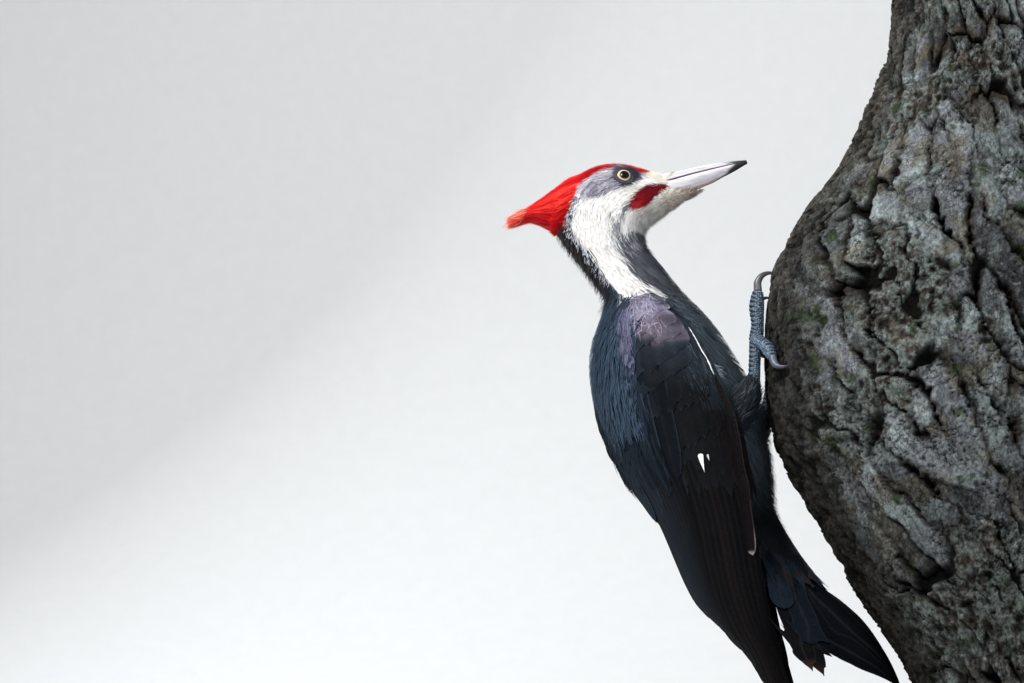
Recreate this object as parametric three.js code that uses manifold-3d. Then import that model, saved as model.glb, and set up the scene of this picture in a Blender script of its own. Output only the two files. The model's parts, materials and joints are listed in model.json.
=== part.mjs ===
// Pileated woodpecker, male, life size: a museum-style still model clinging upright to a short
// cut length of trunk, which two short rods hold above a flat base.
// Millimetres, +Z up. The bird's plane of symmetry is y = 0, its belly faces the wood at +X and
// its right side faces -Y. The origin is the centre of the base's underside.
import * as THREE from "three";
import { mergeVertices } from "three/addons/utils/BufferGeometryUtils.js";
import Module from "manifold-3d";

const wasm = await Module();
wasm.setup();

// ---------------------------------------------------------------- driving dimensions
const GAP = 0.35; // clearance between neighbouring solids
const HEAD_ROLL = 12; // degrees, the head is rolled so its right cheek looks slightly down
const RING = 20; // sides of the body's cross-sections
const NECK_FROM = 8.6; // loop number where the head ends
const BODY_FROM = 13.4; // loop number where the neck ends
const BASE = { length: 280, width: 200, height: 18 };
const ROD = { radius: 6, inBase: 10, inLog: 22, y: 30 };
const LOG_BOTTOM = 62,
  LOG_TOP = 516;
const EYE = { loop: 3.69, angle: 68.75, radius: 5.1, sunk: 3.85 };
const WING = { out: 2.6, in: 2.0 };
const TAIL = { thick: 2.4, tilt: 44, spread: 43, baseHalf: 7, points: 0.045 };

// Loops round head, neck and trunk, bill to tail base: dorsal x, z, ventral x, z, half width
const BODY_LOOPS = [
  [-178.6, 407.6, -167.6, 392.2, 7.2], // feathered edge at the bill
  [-186.2, 410.4, -174.2, 387.2, 10.6],
  [-194.2, 413.2, -180.3, 382.5, 13.8],
  [-202.1, 415.4, -185.8, 378.4, 16.4],
  [-210.8, 416.4, -189.5, 374.8, 18.2], // crown, behind the eye
  [-220.8, 415.0, -190.7, 371.8, 19.4],
  [-230.2, 411.0, -191.0, 368.8, 19.8],
  [-238.4, 404.8, -190.7, 365.8, 19.2], // back of the skull
  [-243.6, 395.2, -189.5, 362.7, 18.3],
  [-245.6, 383.5, -187.0, 359.6, 17.2],
  [-243.2, 370.7, -183.4, 355.3, 16.6], // nape
  [-236.4, 361.6, -178.5, 349.1, 17.0],
  [-228.8, 351.4, -172.4, 341.1, 19.0],
  [-221.6, 341.4, -164.9, 332.6, 23.0],
  [-216.0, 331.6, -156.4, 323.8, 29.0], // shoulder
  [-218.4, 319.4, -148.4, 313.9, 36.0],
  [-223.6, 304.0, -139.8, 300.9, 41.0],
  [-225.0, 288.4, -130.4, 284.3, 43.0], // breast
  [-222.7, 270.8, -123.6, 267.2, 43.0],
  [-216.6, 253.7, -119.6, 250.1, 42.0],
  [-207.4, 236.6, -116.9, 233.1, 39.0],
  [-195.9, 219.3, -115.4, 216.7, 34.0], // belly
  [-183.2, 203.3, -114.3, 202.1, 28.0],
  [-170.4, 188.4, -108.6, 189.8, 22.0],
  [-155.8, 174.7, -102.0, 177.4, 15.0],
  [-140.3, 165.0, -96.6, 166.6, 9.0], // vent, under the tail base
];
// Loops of the crest: upper x, z, lower x, z, half width
const CREST_LOOPS = [
  [-222.0, 414.2, -228.0, 384.0, 14.0],
  [-237.0, 409.2, -244.9, 373.1, 14.2],
  [-245.5, 403.4, -249.7, 375.4, 12.0],
  [-254.1, 397.0, -255.8, 379.1, 9.6],
  [-262.0, 391.7, -261.3, 381.6, 7.2],
  [-269.3, 388.2, -267.1, 380.3, 5.0],
  [-276.4, 384.0, -274.0, 378.4, 2.6],
];
// Loops of the folded right wing: leading x, |y|, z, bulge |y|, trailing x, |y|, z
const WING_LOOPS = [
  [-177.1, 30.0, 326.5, 37.0, -202.0, 22.0, 327.3],
  [-166.5, 36.0, 315.8, 44.0, -211.9, 18.0, 315.3],
  [-157.3, 40.5, 302.9, 47.5, -216.1, 15.0, 301.3],
  [-149.4, 43.0, 288.4, 49.0, -218.4, 12.0, 286.0],
  [-142.0, 43.5, 273.0, 49.5, -217.7, 9.0, 269.5],
  [-134.9, 42.5, 257.8, 49.0, -213.8, 7.0, 252.7],
  [-131.0, 40.5, 241.6, 47.5, -207.4, 5.5, 236.4],
  [-128.4, 38.0, 226.8, 45.0, -199.6, 5.0, 221.1],
  [-124.6, 35.0, 211.3, 42.0, -189.9, 4.5, 207.0],
  [-121.9, 32.0, 196.0, 38.8, -180.8, 4.5, 191.6],
  [-119.7, 29.3, 180.0, 35.5, -172.8, 5.0, 175.6],
  [-118.0, 27.0, 163.9, 32.0, -164.7, 5.5, 159.6],
  [-115.7, 24.5, 148.5, 28.7, -155.4, 6.5, 144.7],
  [-113.1, 22.0, 133.0, 25.3, -143.6, 8.0, 130.2],
  [-109.3, 19.5, 117.5, 22.0, -131.1, 10.0, 116.9],
  [-104.2, 17.0, 100.8, 18.8, -121.6, 12.0, 100.7],
  [-98.9, 15.0, 84.5, 15.6, -107.9, 13.5, 84.4],
];
// Keel of the tail, x, z, from the vent to the tip that leans on the wood
const KEEL = [
  [-119.0, 203.0],
  [-104.6, 179.5],
  [-90.2, 161.6],
  [-74.6, 149.4],
  [-62.0, 137.3],
  [-51.6, 121.8],
  [-44.6, 107.6],
  [-40.2, 95.0],
  [-36.6, 82.0],
];
// Length of the tail feathers from the middle pair outwards, at even steps of the fan
const FAN_LENGTH = [150, 148, 140, 128, 108, 72];
// Outline of the wood: height, left x, right x, half depth
const LOG_LOOPS = [
  [62, -24, 86, 56],
  [83, -28.5, 88, 60],
  [98, -33.5, 89, 62],
  [110, -38.5, 90, 64],
  [124, -45.5, 91, 66],
  [139, -56.5, 92, 69],
  [156, -67.5, 93, 72],
  [187, -83.0, 96, 77],
  [215, -99.3, 99, 82],
  [239, -111.0, 101, 85],
  [263, -117.0, 103, 87],
  [288, -118.6, 104, 88],
  [312, -118.2, 104, 87],
  [345, -113.0, 101, 85],
  [363, -103.6, 97, 82],
  [385, -90.2, 91, 77],
  [405, -73.5, 85, 71],
  [425, -63.0, 79, 67],
  [444, -55.0, 73, 62],
  [462, -47.5, 69, 58],
  [480, -41.0, 66, 55],
  [498, -38.6, 64, 53],
  [516, -38.0, 63, 52],
];
// Right foot, centre lines: points x, y, z and radius. The left foot mirrors it, lower and further
// round the wood.
const LEFT = { drop: 12, round: 0.105, x: -7, across: 111, deep: 87 };
const TARSUS = [[-127.4, -26.4, 266, 4.2], [-124, -25.2, 277, 3.7], [-123.2, -24.2, 290, 3.5], [-122.6, -23.4, 303, 3.8]];
const TOES = {
  inner: [[-122.6, -22.6, 302, 3.2], [-122.2, -18.4, 309, 2.9], [-121.8, -15.6, 315, 2.7], [-121.4, -14.4, 320, 2.3]],
  front: [[-122.6, -23.4, 302, 3.9], [-121.4, -23.4, 311, 4], [-121.8, -23.2, 322, 4.3], [-121, -22.6, 332.4, 3.3]],
  outer: [[-122.2, -24.2, 303, 3.8], [-118.4, -31.4, 300, 3.7], [-114, -38.4, 295.4, 3.7], [-110.8, -43.4, 289.6, 3.1]],
  hind: [[-122.6, -22, 301, 3], [-121.9, -17.2, 299.6, 2.5], [-121.2, -13.6, 297.5, 2]],
};
// Claws: base, then the points of the hook, with radii down to the tip
const CLAWS = {
  inner: [[-121.4, -14.4, 320, 1.8], [-121.2, -13.8, 324.6, 1.6], [-119.6, -13.2, 328.2, 1.2], [-116.6, -12.8, 329.4, 0.8], [-112.6, -12.6, 328.4, 0.4]],
  front: [[-121, -22.6, 332.4, 2.6], [-121, -22.4, 337.4, 2.3], [-118.4, -22, 341.4, 1.7], [-114, -21.6, 342.9, 1.05], [-108.4, -21.2, 341.4, 0.4]],
  outer: [[-110.8, -43.4, 289.6, 2.5], [-109.8, -45.4, 286, 2.3], [-107.2, -47.6, 283.6, 1.7], [-103.4, -49.4, 283, 1.05], [-99, -49.6, 284.4, 0.4]],
  hind: [[-121.2, -13.6, 297.5, 1.5], [-120.4, -12, 295.4, 1.3], [-118.2, -11, 294.2, 0.95], [-114.6, -10.4, 294.8, 0.4]],
};
// Feathered shank from the belly to the heel: x, y, z, radius
const THIGH = [[-158, -22, 244, 13], [-148, -25, 251, 15], [-136.5, -26.5, 260, 14], [-128.2, -26.4, 269.5, 9.8], [-124.2, -25.3, 278.6, 4.9]];
// Bill: distance along the axis 0..1, culmen height above the parting, gonys depth below it, half width
const BILL = { base: [-185.76, 398.98], tip: [-128.9, 414.5], camber: 0.9 };
const BILL_LOOPS = [
  [0.0, 7.4, 9.0, 7.0],
  [0.16, 7.2, 9.8, 6.9],
  [0.3, 6.3, 9.7, 6.0],
  [0.45, 5.6, 9.0, 5.0],
  [0.6, 4.7, 7.7, 4.0],
  [0.75, 3.75, 5.5, 3.1],
  [0.88, 2.7, 3.4, 2.3],
  [0.96, 1.85, 1.75, 1.7],
  [1.0, 1.35, 1.0, 1.3],
];

// ---------------------------------------------------------------- helpers
const rad = (d) => (d * Math.PI) / 180;
const V3 = (x, y, z) => new THREE.Vector3(x, y, z);
// Smooth curve through rows of numbers at whole values of t
function spline(rows, t) {
  const n = rows.length - 1;
  t = Math.min(Math.max(t, 0), n);
  const i = Math.min(Math.floor(t), n - 1),
    f = t - i;
  const at = (k) =>
    k < 0 ? rows[0].map((v, c) => 2 * v - rows[1][c]) : k > n ? rows[n].map((v, c) => 2 * v - rows[n - 1][c]) : rows[k];
  const a = at(i - 1), b = at(i), c = at(i + 1), d = at(i + 2);
  return b.map((_, k) => {
    const m0 = (c[k] - a[k]) / 2, m1 = (d[k] - b[k]) / 2;
    return (2 * f ** 3 - 3 * f * f + 1) * b[k] + (f ** 3 - 2 * f * f + f) * m0 + (3 * f * f - 2 * f ** 3) * c[k] + (f ** 3 - f * f) * m1;
  });
}
const smooth = (a, b, x) => {
  const t = Math.min(1, Math.max(0, (x - a) / (b - a)));
  return t * t * (3 - 2 * t);
};
// A closed geometry, each vertex moved by fn, as a solid
function solid(geometry, fn) {
  const g = geometry.clone();
  g.deleteAttribute("normal");
  g.deleteAttribute("uv");
  const p = g.getAttribute("position");
  const out = new Float32Array(p.count * 3);
  for (let i = 0; i < p.count; i++) {
    const v = V3(p.getX(i), p.getY(i), p.getZ(i));
    (fn ? fn(v) : v).toArray(out, i * 3);
  }
  g.setAttribute("position", new THREE.BufferAttribute(out, 3));
  const m = mergeVertices(g, 1e-3);
  const make = (tri) => new wasm.Manifold(new wasm.Mesh({ numProp: 3, vertProperties: m.attributes.position.array, triVerts: tri }));
  const tri = new Uint32Array(m.index.array);
  let s = make(tri);
  if (s.volume() < 0) {
    for (let i = 0; i < tri.length; i += 3) [tri[i + 1], tri[i + 2]] = [tri[i + 2], tri[i + 1]];
    s = make(tri);
  }
  return s;
}
const largest = (s) => s.decompose().sort((a, b) => b.volume() - a.volume())[0];
// A tube of round rings: fn(t) gives centre, u and v half axes; t runs 0..1
function ringed(fn, sides, steps) {
  const g = new THREE.CylinderGeometry(1, 1, 1, sides, steps, false);
  return solid(g, (v) => {
    const { c, u, w } = fn(0.5 - v.y);
    return c.clone().addScaledVector(u, v.z).addScaledVector(w, v.x);
  });
}
// A round tube along points x, y, z, radius
function limb(points, sides, steps, grow = 0, from = 0, to = 1) {
  const n = points.length - 1;
  return ringed((s) => {
    const t = (from + (to - from) * s) * n,
      p = spline(points, t),
      q = spline(points, Math.min(n, t + 0.05)),
      o = spline(points, Math.max(0, t - 0.05));
    const d = V3(q[0] - o[0], q[1] - o[1], q[2] - o[2]).normalize();
    const side = V3(0, 1, 0).cross(d).lengthSq() > 0.05 ? V3(0, 1, 0) : V3(1, 0, 0);
    const u = side.clone().cross(d).normalize(), w = d.clone().cross(u).normalize();
    const r = Math.max(0.25, p[3]) + grow;
    const c = V3(p[0], p[1], p[2]).addScaledVector(d, (s > 0.5 ? 1 : -1) * (s === 0 || s === 1 ? grow : 0));
    return { c, u: u.multiplyScalar(r), w: w.multiplyScalar(r) };
  }, sides, steps);
}
const mirror = (points) =>
  points.map(([x, y, z, r]) => {
    const a = LEFT.round * smooth(262, 296, z), u = (x - LEFT.x) / LEFT.across, v = -y / LEFT.deep;
    return [LEFT.x + LEFT.across * (u * Math.cos(a) + v * Math.sin(a)), LEFT.deep * (v * Math.cos(a) - u * Math.sin(a)), z - LEFT.drop, r];
  });

// ---------------------------------------------------------------- surfaces
// Loop t of the body: centre, half height towards the back, half width, with the head's roll
function bodyRing(t, grow = 0) {
  const [dx, dz, vx, vz, hw] = spline(BODY_LOOPS, t);
  const c = V3((dx + vx) / 2, 0, (dz + vz) / 2);
  const up = V3(dx - vx, 0, dz - vz).multiplyScalar(0.5);
  const h = up.length();
  up.normalize();
  const roll = rad(HEAD_ROLL) * (1 - smooth(3.5, 11.5, t));
  const side = V3(0, 1, 0);
  const u = up.clone().multiplyScalar(Math.cos(roll)).addScaledVector(side, Math.sin(roll));
  const w = side.clone().multiplyScalar(Math.cos(roll)).addScaledVector(up, -Math.sin(roll));
  return { c, u: u.multiplyScalar(h + grow), w: w.multiplyScalar(hw + grow) };
}
// The body's outline, a little fuller than an ellipse
function bodyPart(t0, t1, steps, grow = 0) {
  const g = new THREE.CylinderGeometry(1, 1, 1, RING, steps, false);
  return solid(g, (v) => {
    const t = t0 + (t1 - t0) * (0.5 - v.y), { c, u, w } = bodyRing(t, grow);
    const r = Math.hypot(v.x, v.z) * (1 + 0.05 * Math.sin(2 * Math.atan2(v.x, v.z)) ** 2), a = Math.atan2(v.x, v.z);
    return c.clone().addScaledVector(u, r * Math.cos(a)).addScaledVector(w, r * Math.sin(a));
  });
}
// Point of the folded wing: a 0..1 from shoulder to tip, b 0..1 from leading to trailing edge, side -1 right
function wingPoint(a, b, side) {
  const [lx, ly, lz, my, tx, ty, tz] = spline(WING_LOOPS, a * (WING_LOOPS.length - 1));
  const mid = 0.36;
  const ky = (my - (1 - mid) ** 2 * ly - mid ** 2 * ty) / (2 * mid * (1 - mid));
  const kx = (lx + tx) / 2, kz = (lz + tz) / 2;
  const f = (p, k, q) => (1 - b) ** 2 * p + 2 * b * (1 - b) * k + b * b * q;
  return V3(f(lx, kx, tx), side * f(ly, ky, ty), f(lz, kz, tz));
}
function wingNormal(a, b, side) {
  const e = 0.01;
  const da = wingPoint(Math.min(1, a + e), b, side).sub(wingPoint(Math.max(0, a - e), b, side));
  const db = wingPoint(a, Math.min(1, b + e), side).sub(wingPoint(a, Math.max(0, b - e), side));
  const n = da.cross(db).normalize();
  return n.y * side < 0 ? n.negate() : n;
}
function wing(side, grow = 0) {
  const g = new THREE.BoxGeometry(1, 1, 1, 18, 6, 1);
  return solid(g, (v) => {
    const a = v.x + 0.5, b = v.y + 0.5;
    const edge = Math.sqrt(Math.max(0, 1 - Math.abs(2 * b - 1) ** 6)) * (0.35 + 0.65 * smooth(0, 0.06, a));
    const thin = 1 - 0.55 * smooth(0.5, 1, a);
    const off = v.z > 0 ? WING.out * thin * (0.3 + 0.7 * edge) + grow : -(WING.in * thin * (0.3 + 0.7 * edge) + grow);
    const p = wingPoint(a, b, side).addScaledVector(wingNormal(a, b, side), off);
    if (grow) {
      const along = wingPoint(Math.min(1, a + 0.01), b, side).sub(wingPoint(Math.max(0, a - 0.01), b, side)).normalize();
      const across = wingPoint(a, Math.min(1, b + 0.01), side).sub(wingPoint(a, Math.max(0, b - 0.01), side)).normalize();
      if (a < 0.001) p.addScaledVector(along, -grow);
      if (a > 0.999) p.addScaledVector(along, grow);
      if (b < 0.001) p.addScaledVector(across, -grow);
      if (b > 0.999) p.addScaledVector(across, grow);
    }
    return p;
  });
}
// Point of the keel at a length l from the tail's root, with its dorsal direction
const keelLength = (() => {
  const out = [0];
  for (let i = 1; i <= 160; i++) {
    const p = spline(KEEL, ((i - 1) / 160) * (KEEL.length - 1)), q = spline(KEEL, (i / 160) * (KEEL.length - 1));
    out.push(out[i - 1] + Math.hypot(q[0] - p[0], q[1] - p[1]));
  }
  return out;
})();
function keelAt(l) {
  let i = 1;
  while (i < 160 && keelLength[i] < l) i++;
  const f = (l - keelLength[i - 1]) / (keelLength[i] - keelLength[i - 1]);
  const t = ((i - 1 + Math.min(1, f)) / 160) * (KEEL.length - 1);
  const p = spline(KEEL, t), q = spline(KEEL, Math.min(KEEL.length - 1, t + 0.1)), o = spline(KEEL, Math.max(0, t - 0.1));
  const d = V3(q[0] - o[0], 0, q[1] - o[1]).normalize();
  const c = V3(p[0], 0, p[1]).addScaledVector(d, Math.max(0, l - keelLength[160]));
  return { c, d, n: V3(d.z, 0, -d.x) }; // n points to the dorsal side
}
// The fan: s 0..1 along a feather, q -1..1 across, h above its middle surface on the dorsal side
function fanPoint(s, q, h) {
  const aq = Math.abs(q);
  const length = spline(FAN_LENGTH.map((v) => [v]), aq * (FAN_LENGTH.length - 1))[0];
  const point = 1 - TAIL.points * Math.abs(Math.cos(5 * Math.PI * aq)) * smooth(0.6, 1, s); // pointed feather ends
  const l = s * length * point, psi = rad(TAIL.spread) * aq;
  const k = keelAt(l * Math.cos(psi));
  const tilt = rad(TAIL.tilt) * smooth(0, 0.35, aq);
  const out = l * Math.sin(psi) + TAIL.baseHalf * aq;
  const lateral = V3(0, Math.cos(tilt), 0).addScaledVector(k.n, Math.sin(tilt));
  const normal = V3(0, -Math.sin(tilt), 0).addScaledVector(k.n, Math.cos(tilt));
  const p = k.c.clone();
  p.x += out * lateral.x + h * normal.x;
  p.z += out * lateral.z + h * normal.z;
  p.y = Math.sign(q) * (out * lateral.y + h * normal.y);
  return p;
}
function tail(grow = 0) {
  const g = new THREE.BoxGeometry(1, 1, 1, 8, 20, 1);
  return solid(g, (v) => {
    const s = v.x + 0.5, q = 2 * v.y;
    const thick = TAIL.thick * (1 + 1.2 * (1 - smooth(0, 0.35, s)) - 0.3 * smooth(0.6, 1, s));
    const p = fanPoint(s + (s > 0.999 ? grow / 60 : 0), q * (1 + grow * 0.03), v.z * thick + Math.sign(v.z) * grow);
    if (s < 0.001) p.addScaledVector(keelAt(0).d, -grow).add(V3(0, Math.sign(q) * grow * 2, 0));
    return p;
  });
}
function crest(grow = 0, from = 0) {
  const n = CREST_LOOPS.length - 1;
  return ringed((s) => {
    const [ux, uz, lx, lz, hw] = spline(CREST_LOOPS, (from + (1 - from) * s) * n);
    const c = V3((ux + lx) / 2, 0, (uz + lz) / 2), u = V3(ux - lx, 0, uz - lz).multiplyScalar(0.5);
    const roll = rad(HEAD_ROLL) * 0.85, k = 1 + grow / u.length();
    const uu = u.clone().multiplyScalar(Math.cos(roll) * k);
    uu.y = u.length() * Math.sin(roll) * k;
    const w = V3(0, Math.cos(roll), 0).addScaledVector(u.clone().normalize(), -Math.sin(roll)).multiplyScalar(hw + grow);
    c.y = -2.2 * Math.sin(roll) * s;
    return { c, u: uu, w };
  }, 14, 9);
}
// A mandible: part +1 above the parting line, -1 below it
function mandible(part, grow = 0) {
  const axis = V3(BILL.tip[0] - BILL.base[0], 0, BILL.tip[1] - BILL.base[1]);
  const length = axis.length(), d = axis.clone().normalize();
  const roll = rad(HEAD_ROLL), n = V3(-d.z, 0, d.x);
  const up = n.clone().multiplyScalar(Math.cos(roll)).add(V3(0, Math.sin(roll), 0));
  const side = V3(0, Math.cos(roll), 0).addScaledVector(n, -Math.sin(roll));
  const gape = part > 0 ? GAP / 2 : -GAP / 2;
  const g = new THREE.CylinderGeometry(1, 1, 1, 12, 9, false);
  return solid(g, (v) => {
    const s = 0.5 - v.y;
    const k = spline(BILL_LOOPS.map((r) => r.slice(1)), loopAt(s));
    const x = v.x, y = v.z;
    const ridge = 1 - 0.16 * Math.abs(x) * (1 - Math.abs(x)) * 4; // flat-sided towards the ridge
    const h = part > 0 ? k[0] : k[1];
    // the round section is folded so that its lower half is the flat parting face
    const yy = part * y > 0 ? y * h * ridge : 0;
    const p = V3(BILL.base[0], 0, BILL.base[1]).addScaledVector(d, s * length + (s === 1 ? grow : s === 0 ? -grow : 0));
    p.addScaledVector(n, BILL.camber * Math.sin(Math.PI * s));
    return p.addScaledVector(up, yy + (part * y > 0 ? gape + part * grow * Math.abs(y) : gape - part * grow)).addScaledVector(side, x * (k[2] + grow));
  });
}
function loopAt(s) {
  let i = 1;
  while (i < BILL_LOOPS.length - 1 && BILL_LOOPS[i][0] < s) i++;
  return i - 1 + (s - BILL_LOOPS[i - 1][0]) / (BILL_LOOPS[i][0] - BILL_LOOPS[i - 1][0]);
}
// Centre of an eye, from its place on the head's surface
function eyeCentre(side) {
  const { c, u, w } = bodyRing(EYE.loop), a = rad(EYE.angle);
  const k = 1 + 0.05 * Math.sin(2 * a) ** 2;
  const p = c.clone().addScaledVector(u, Math.cos(a) * k).addScaledVector(w, side * Math.sin(a) * k);
  const n = u.clone().divideScalar(u.lengthSq()).multiplyScalar(Math.cos(a)).addScaledVector(w.clone().divideScalar(w.lengthSq()), side * Math.sin(a)).normalize();
  return p.addScaledVector(n, -EYE.sunk);
}
const eye = (side, grow = 0) => {
  const c = eyeCentre(side);
  return solid(new THREE.SphereGeometry(EYE.radius + grow, 12, 7), (v) => v.add(c));
};
// The wood, with shallow furrows between its bark plates
function log(grow = 0) {
  const g = new THREE.CylinderGeometry(1, 1, 1, 26, 16, false);
  return solid(g, (v) => {
    const z = LOG_TOP + (LOG_BOTTOM - LOG_TOP) * (0.5 - v.y);
    let i = 1;
    while (i < LOG_LOOPS.length - 1 && LOG_LOOPS[i][0] < z) i++;
    const t = i - 1 + (z - LOG_LOOPS[i - 1][0]) / (LOG_LOOPS[i][0] - LOG_LOOPS[i - 1][0]);
    const [, l, r, hd] = spline(LOG_LOOPS, t);
    const a = Math.atan2(v.x, v.z), k = Math.hypot(v.x, v.z);
    const bark = 1 + 0.022 * Math.sin(9 * a + 0.02 * z) * Math.sin(0.045 * z + 2 * a);
    const keep = 1 - smooth(0.55, 0.95, -Math.cos(a)); // the side that carries the bird keeps its outline
    return V3((l + r) / 2 + (k * Math.cos(a) * (r - l) * (1 + (bark - 1) * keep)) / 2, k * Math.sin(a) * hd * (1 + (bark - 1) * keep), z);
  });
}
const cylinder = (r, h, x, y, z0, sides = 18) =>
  solid(new THREE.CylinderGeometry(r, r, h, sides, 1, false).rotateX(Math.PI / 2).translate(x, y, z0 + h / 2));

// ---------------------------------------------------------------- solids
const wings = { right: wing(-1), left: wing(1) };
const wingsGrown = wing(-1, GAP).add(wing(1, GAP));
const tailSolid = largest(tail().subtract(bodyPart(12, 25, 17, GAP + 0.2).add(wingsGrown)));
const tailGrown = tail(GAP);
const eyes = { right: eye(-1), left: eye(1) };
const billUpper = mandible(1), billLower = mandible(-1);
const billGrown = mandible(1, GAP).add(mandible(-1, GAP));
const thigh = (pts, grow = 0) => limb(pts, 10, 5, grow);
const legSolid = (map, grow = 0) => {
  let s = limb(map(TARSUS), 8, 3, grow);
  for (const k of Object.keys(TOES)) s = s.add(limb(map(TOES[k]), 6, 3, grow));
  return s;
};
const right = (p) => p, left = mirror;
const clawSolid = (map, k, grow = 0) => limb(map(CLAWS[k]), 6, 5, grow);
const clawsAll = (map, grow) => Object.keys(CLAWS).map((k) => clawSolid(map, k, grow)).reduce((a, b) => a.add(b));

const thighs = { right: thigh(right(THIGH)), left: thigh(left(THIGH)) };
const thighsGrown = thigh(right(THIGH), GAP).add(thigh(left(THIGH), GAP));
const shanksGrown = limb(TARSUS, 8, 3, GAP).add(limb(left(TARSUS), 8, 3, GAP));
const clawsGrown = clawsAll(right, GAP).add(clawsAll(left, GAP)).add(legSolid(left, GAP));

const headSolid = largest(bodyPart(0, NECK_FROM, 10).subtract(billGrown).subtract(eye(-1, GAP)).subtract(eye(1, GAP)));
const neckSolid = bodyPart(NECK_FROM + 0.12, BODY_FROM, 7);
const bodySolid = largest(bodyPart(BODY_FROM + 0.06, 25, 13).subtract(wingsGrown).subtract(thighsGrown).subtract(shanksGrown));
const crestSolid = largest(crest().subtract(bodyPart(0, 12, 16, GAP + 0.15)));
const thighRight = largest(thighs.right.subtract(wingsGrown).subtract(legSolid(right, GAP)));
const thighLeft = largest(thighs.left.subtract(wingsGrown).subtract(legSolid(left, GAP)));

let perch = log();
const rodX = [34 - 26, 34 + 26];
const rodHeight = ROD.inBase + (LOG_BOTTOM - BASE.height) + ROD.inLog;
let baseSolid = solid(new THREE.BoxGeometry(BASE.length, BASE.width, BASE.height, 1, 1, 1).translate(0, 0, BASE.height / 2));
const rods = [];
for (const x of rodX) {
  rods.push(cylinder(ROD.radius, rodHeight - 0.8, x, 0, BASE.height - ROD.inBase + 0.4));
  const hole = cylinder(ROD.radius + GAP, rodHeight, x, 0, BASE.height - ROD.inBase);
  perch = perch.subtract(hole);
  baseSolid = baseSolid.subtract(hole);
}
perch = largest(perch.subtract(clawsGrown).subtract(tailGrown).subtract(bodyPart(BODY_FROM, 25, 15, GAP + 0.15)).subtract(thighsGrown));

// ---------------------------------------------------------------- scene graph
const material = (color, roughness, metalness = 0) => new THREE.MeshStandardMaterial({ color, roughness, metalness });
const FINISH = {
  plumage_black: material(0x1b1d22, 0.62),
  plumage_white: material(0xe9e8e2, 0.75),
  plumage_red: material(0xc81f22, 0.7),
  bill: material(0x9aa0ab, 0.38),
  eye: material(0xcdbf8f, 0.1),
  leg: material(0x70839a, 0.55),
  claw: material(0x23262b, 0.35),
  bark: material(0x6f6d66, 0.95),
  stand_wood: material(0x3b2417, 0.4),
  stand_steel: material(0x8d9196, 0.3, 1),
};
const group = new THREE.Group();
group.name = "pileated_woodpecker";
function put(name, s, finish) {
  const m = s.getMesh(), n = m.numProp, v = new Float32Array(m.numVert * 3);
  for (let i = 0; i < m.numVert; i++) v.set(m.vertProperties.subarray(i * n, i * n + 3), i * 3);
  const g = new THREE.BufferGeometry().setAttribute("position", new THREE.BufferAttribute(v, 3)).setIndex(new THREE.BufferAttribute(m.triVerts, 1));
  g.computeVertexNormals();
  const mesh = new THREE.Mesh(g, FINISH[finish]);
  mesh.name = name;
  group.add(mesh);
}
put("head", headSolid, "plumage_white");
put("crest", crestSolid, "plumage_red");
put("neck", neckSolid, "plumage_black");
put("body", bodySolid, "plumage_black");
put("bill_upper", billUpper, "bill");
put("bill_lower", billLower, "bill");
put("eye_right", eyes.right, "eye");
put("eye_left", eyes.left, "eye");
put("wing_right", wings.right, "plumage_black");
put("wing_left", wings.left, "plumage_black");
put("tail", tailSolid, "plumage_black");
put("thigh_right", thighRight, "plumage_black");
put("thigh_left", thighLeft, "plumage_black");
for (const [side, map] of [["right", right], ["left", left]]) {
  put(`leg_${side}`, largest(legSolid(map).subtract(clawsAll(map, GAP))), "leg");
  for (const k of Object.keys(CLAWS)) put(`claw_${side}_${k}`, clawSolid(map, k), "claw");
}
put("perch_log", perch, "bark");
put("stand_base", baseSolid, "stand_wood");
put("stand_rod_front", rods[0], "stand_steel");
put("stand_rod_rear", rods[1], "stand_steel");

export default group;
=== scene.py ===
# Looks of the pileated woodpecker: one skin, its feathers as solid mesh, horn, eyes, scaled feet,
# bark and stand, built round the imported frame. Lengths in this file are millimetres until mesh().
import json
import math

import bpy
import numpy as np
from mathutils import Matrix, Vector
from mathutils.kdtree import KDTree

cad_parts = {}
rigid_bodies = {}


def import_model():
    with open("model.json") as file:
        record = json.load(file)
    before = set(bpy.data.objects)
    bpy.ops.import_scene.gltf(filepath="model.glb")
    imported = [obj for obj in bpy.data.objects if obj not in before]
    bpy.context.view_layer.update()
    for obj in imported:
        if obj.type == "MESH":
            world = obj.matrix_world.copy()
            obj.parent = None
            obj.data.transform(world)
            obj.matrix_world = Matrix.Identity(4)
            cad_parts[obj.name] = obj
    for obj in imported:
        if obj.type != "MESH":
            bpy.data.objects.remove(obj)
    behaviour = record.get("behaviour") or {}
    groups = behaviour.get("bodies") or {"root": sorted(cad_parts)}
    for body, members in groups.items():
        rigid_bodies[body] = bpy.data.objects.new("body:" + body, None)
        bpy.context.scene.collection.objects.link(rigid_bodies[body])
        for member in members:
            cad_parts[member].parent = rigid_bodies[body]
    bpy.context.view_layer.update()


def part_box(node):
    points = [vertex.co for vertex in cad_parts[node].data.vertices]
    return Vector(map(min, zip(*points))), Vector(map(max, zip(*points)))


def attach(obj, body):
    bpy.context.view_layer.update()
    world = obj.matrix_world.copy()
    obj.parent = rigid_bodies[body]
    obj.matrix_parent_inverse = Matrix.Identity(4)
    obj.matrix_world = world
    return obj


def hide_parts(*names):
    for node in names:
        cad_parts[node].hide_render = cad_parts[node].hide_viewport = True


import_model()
rng = np.random.default_rng(11)
R = lambda lo, hi, n: rng.uniform(lo, hi, n)

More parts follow.
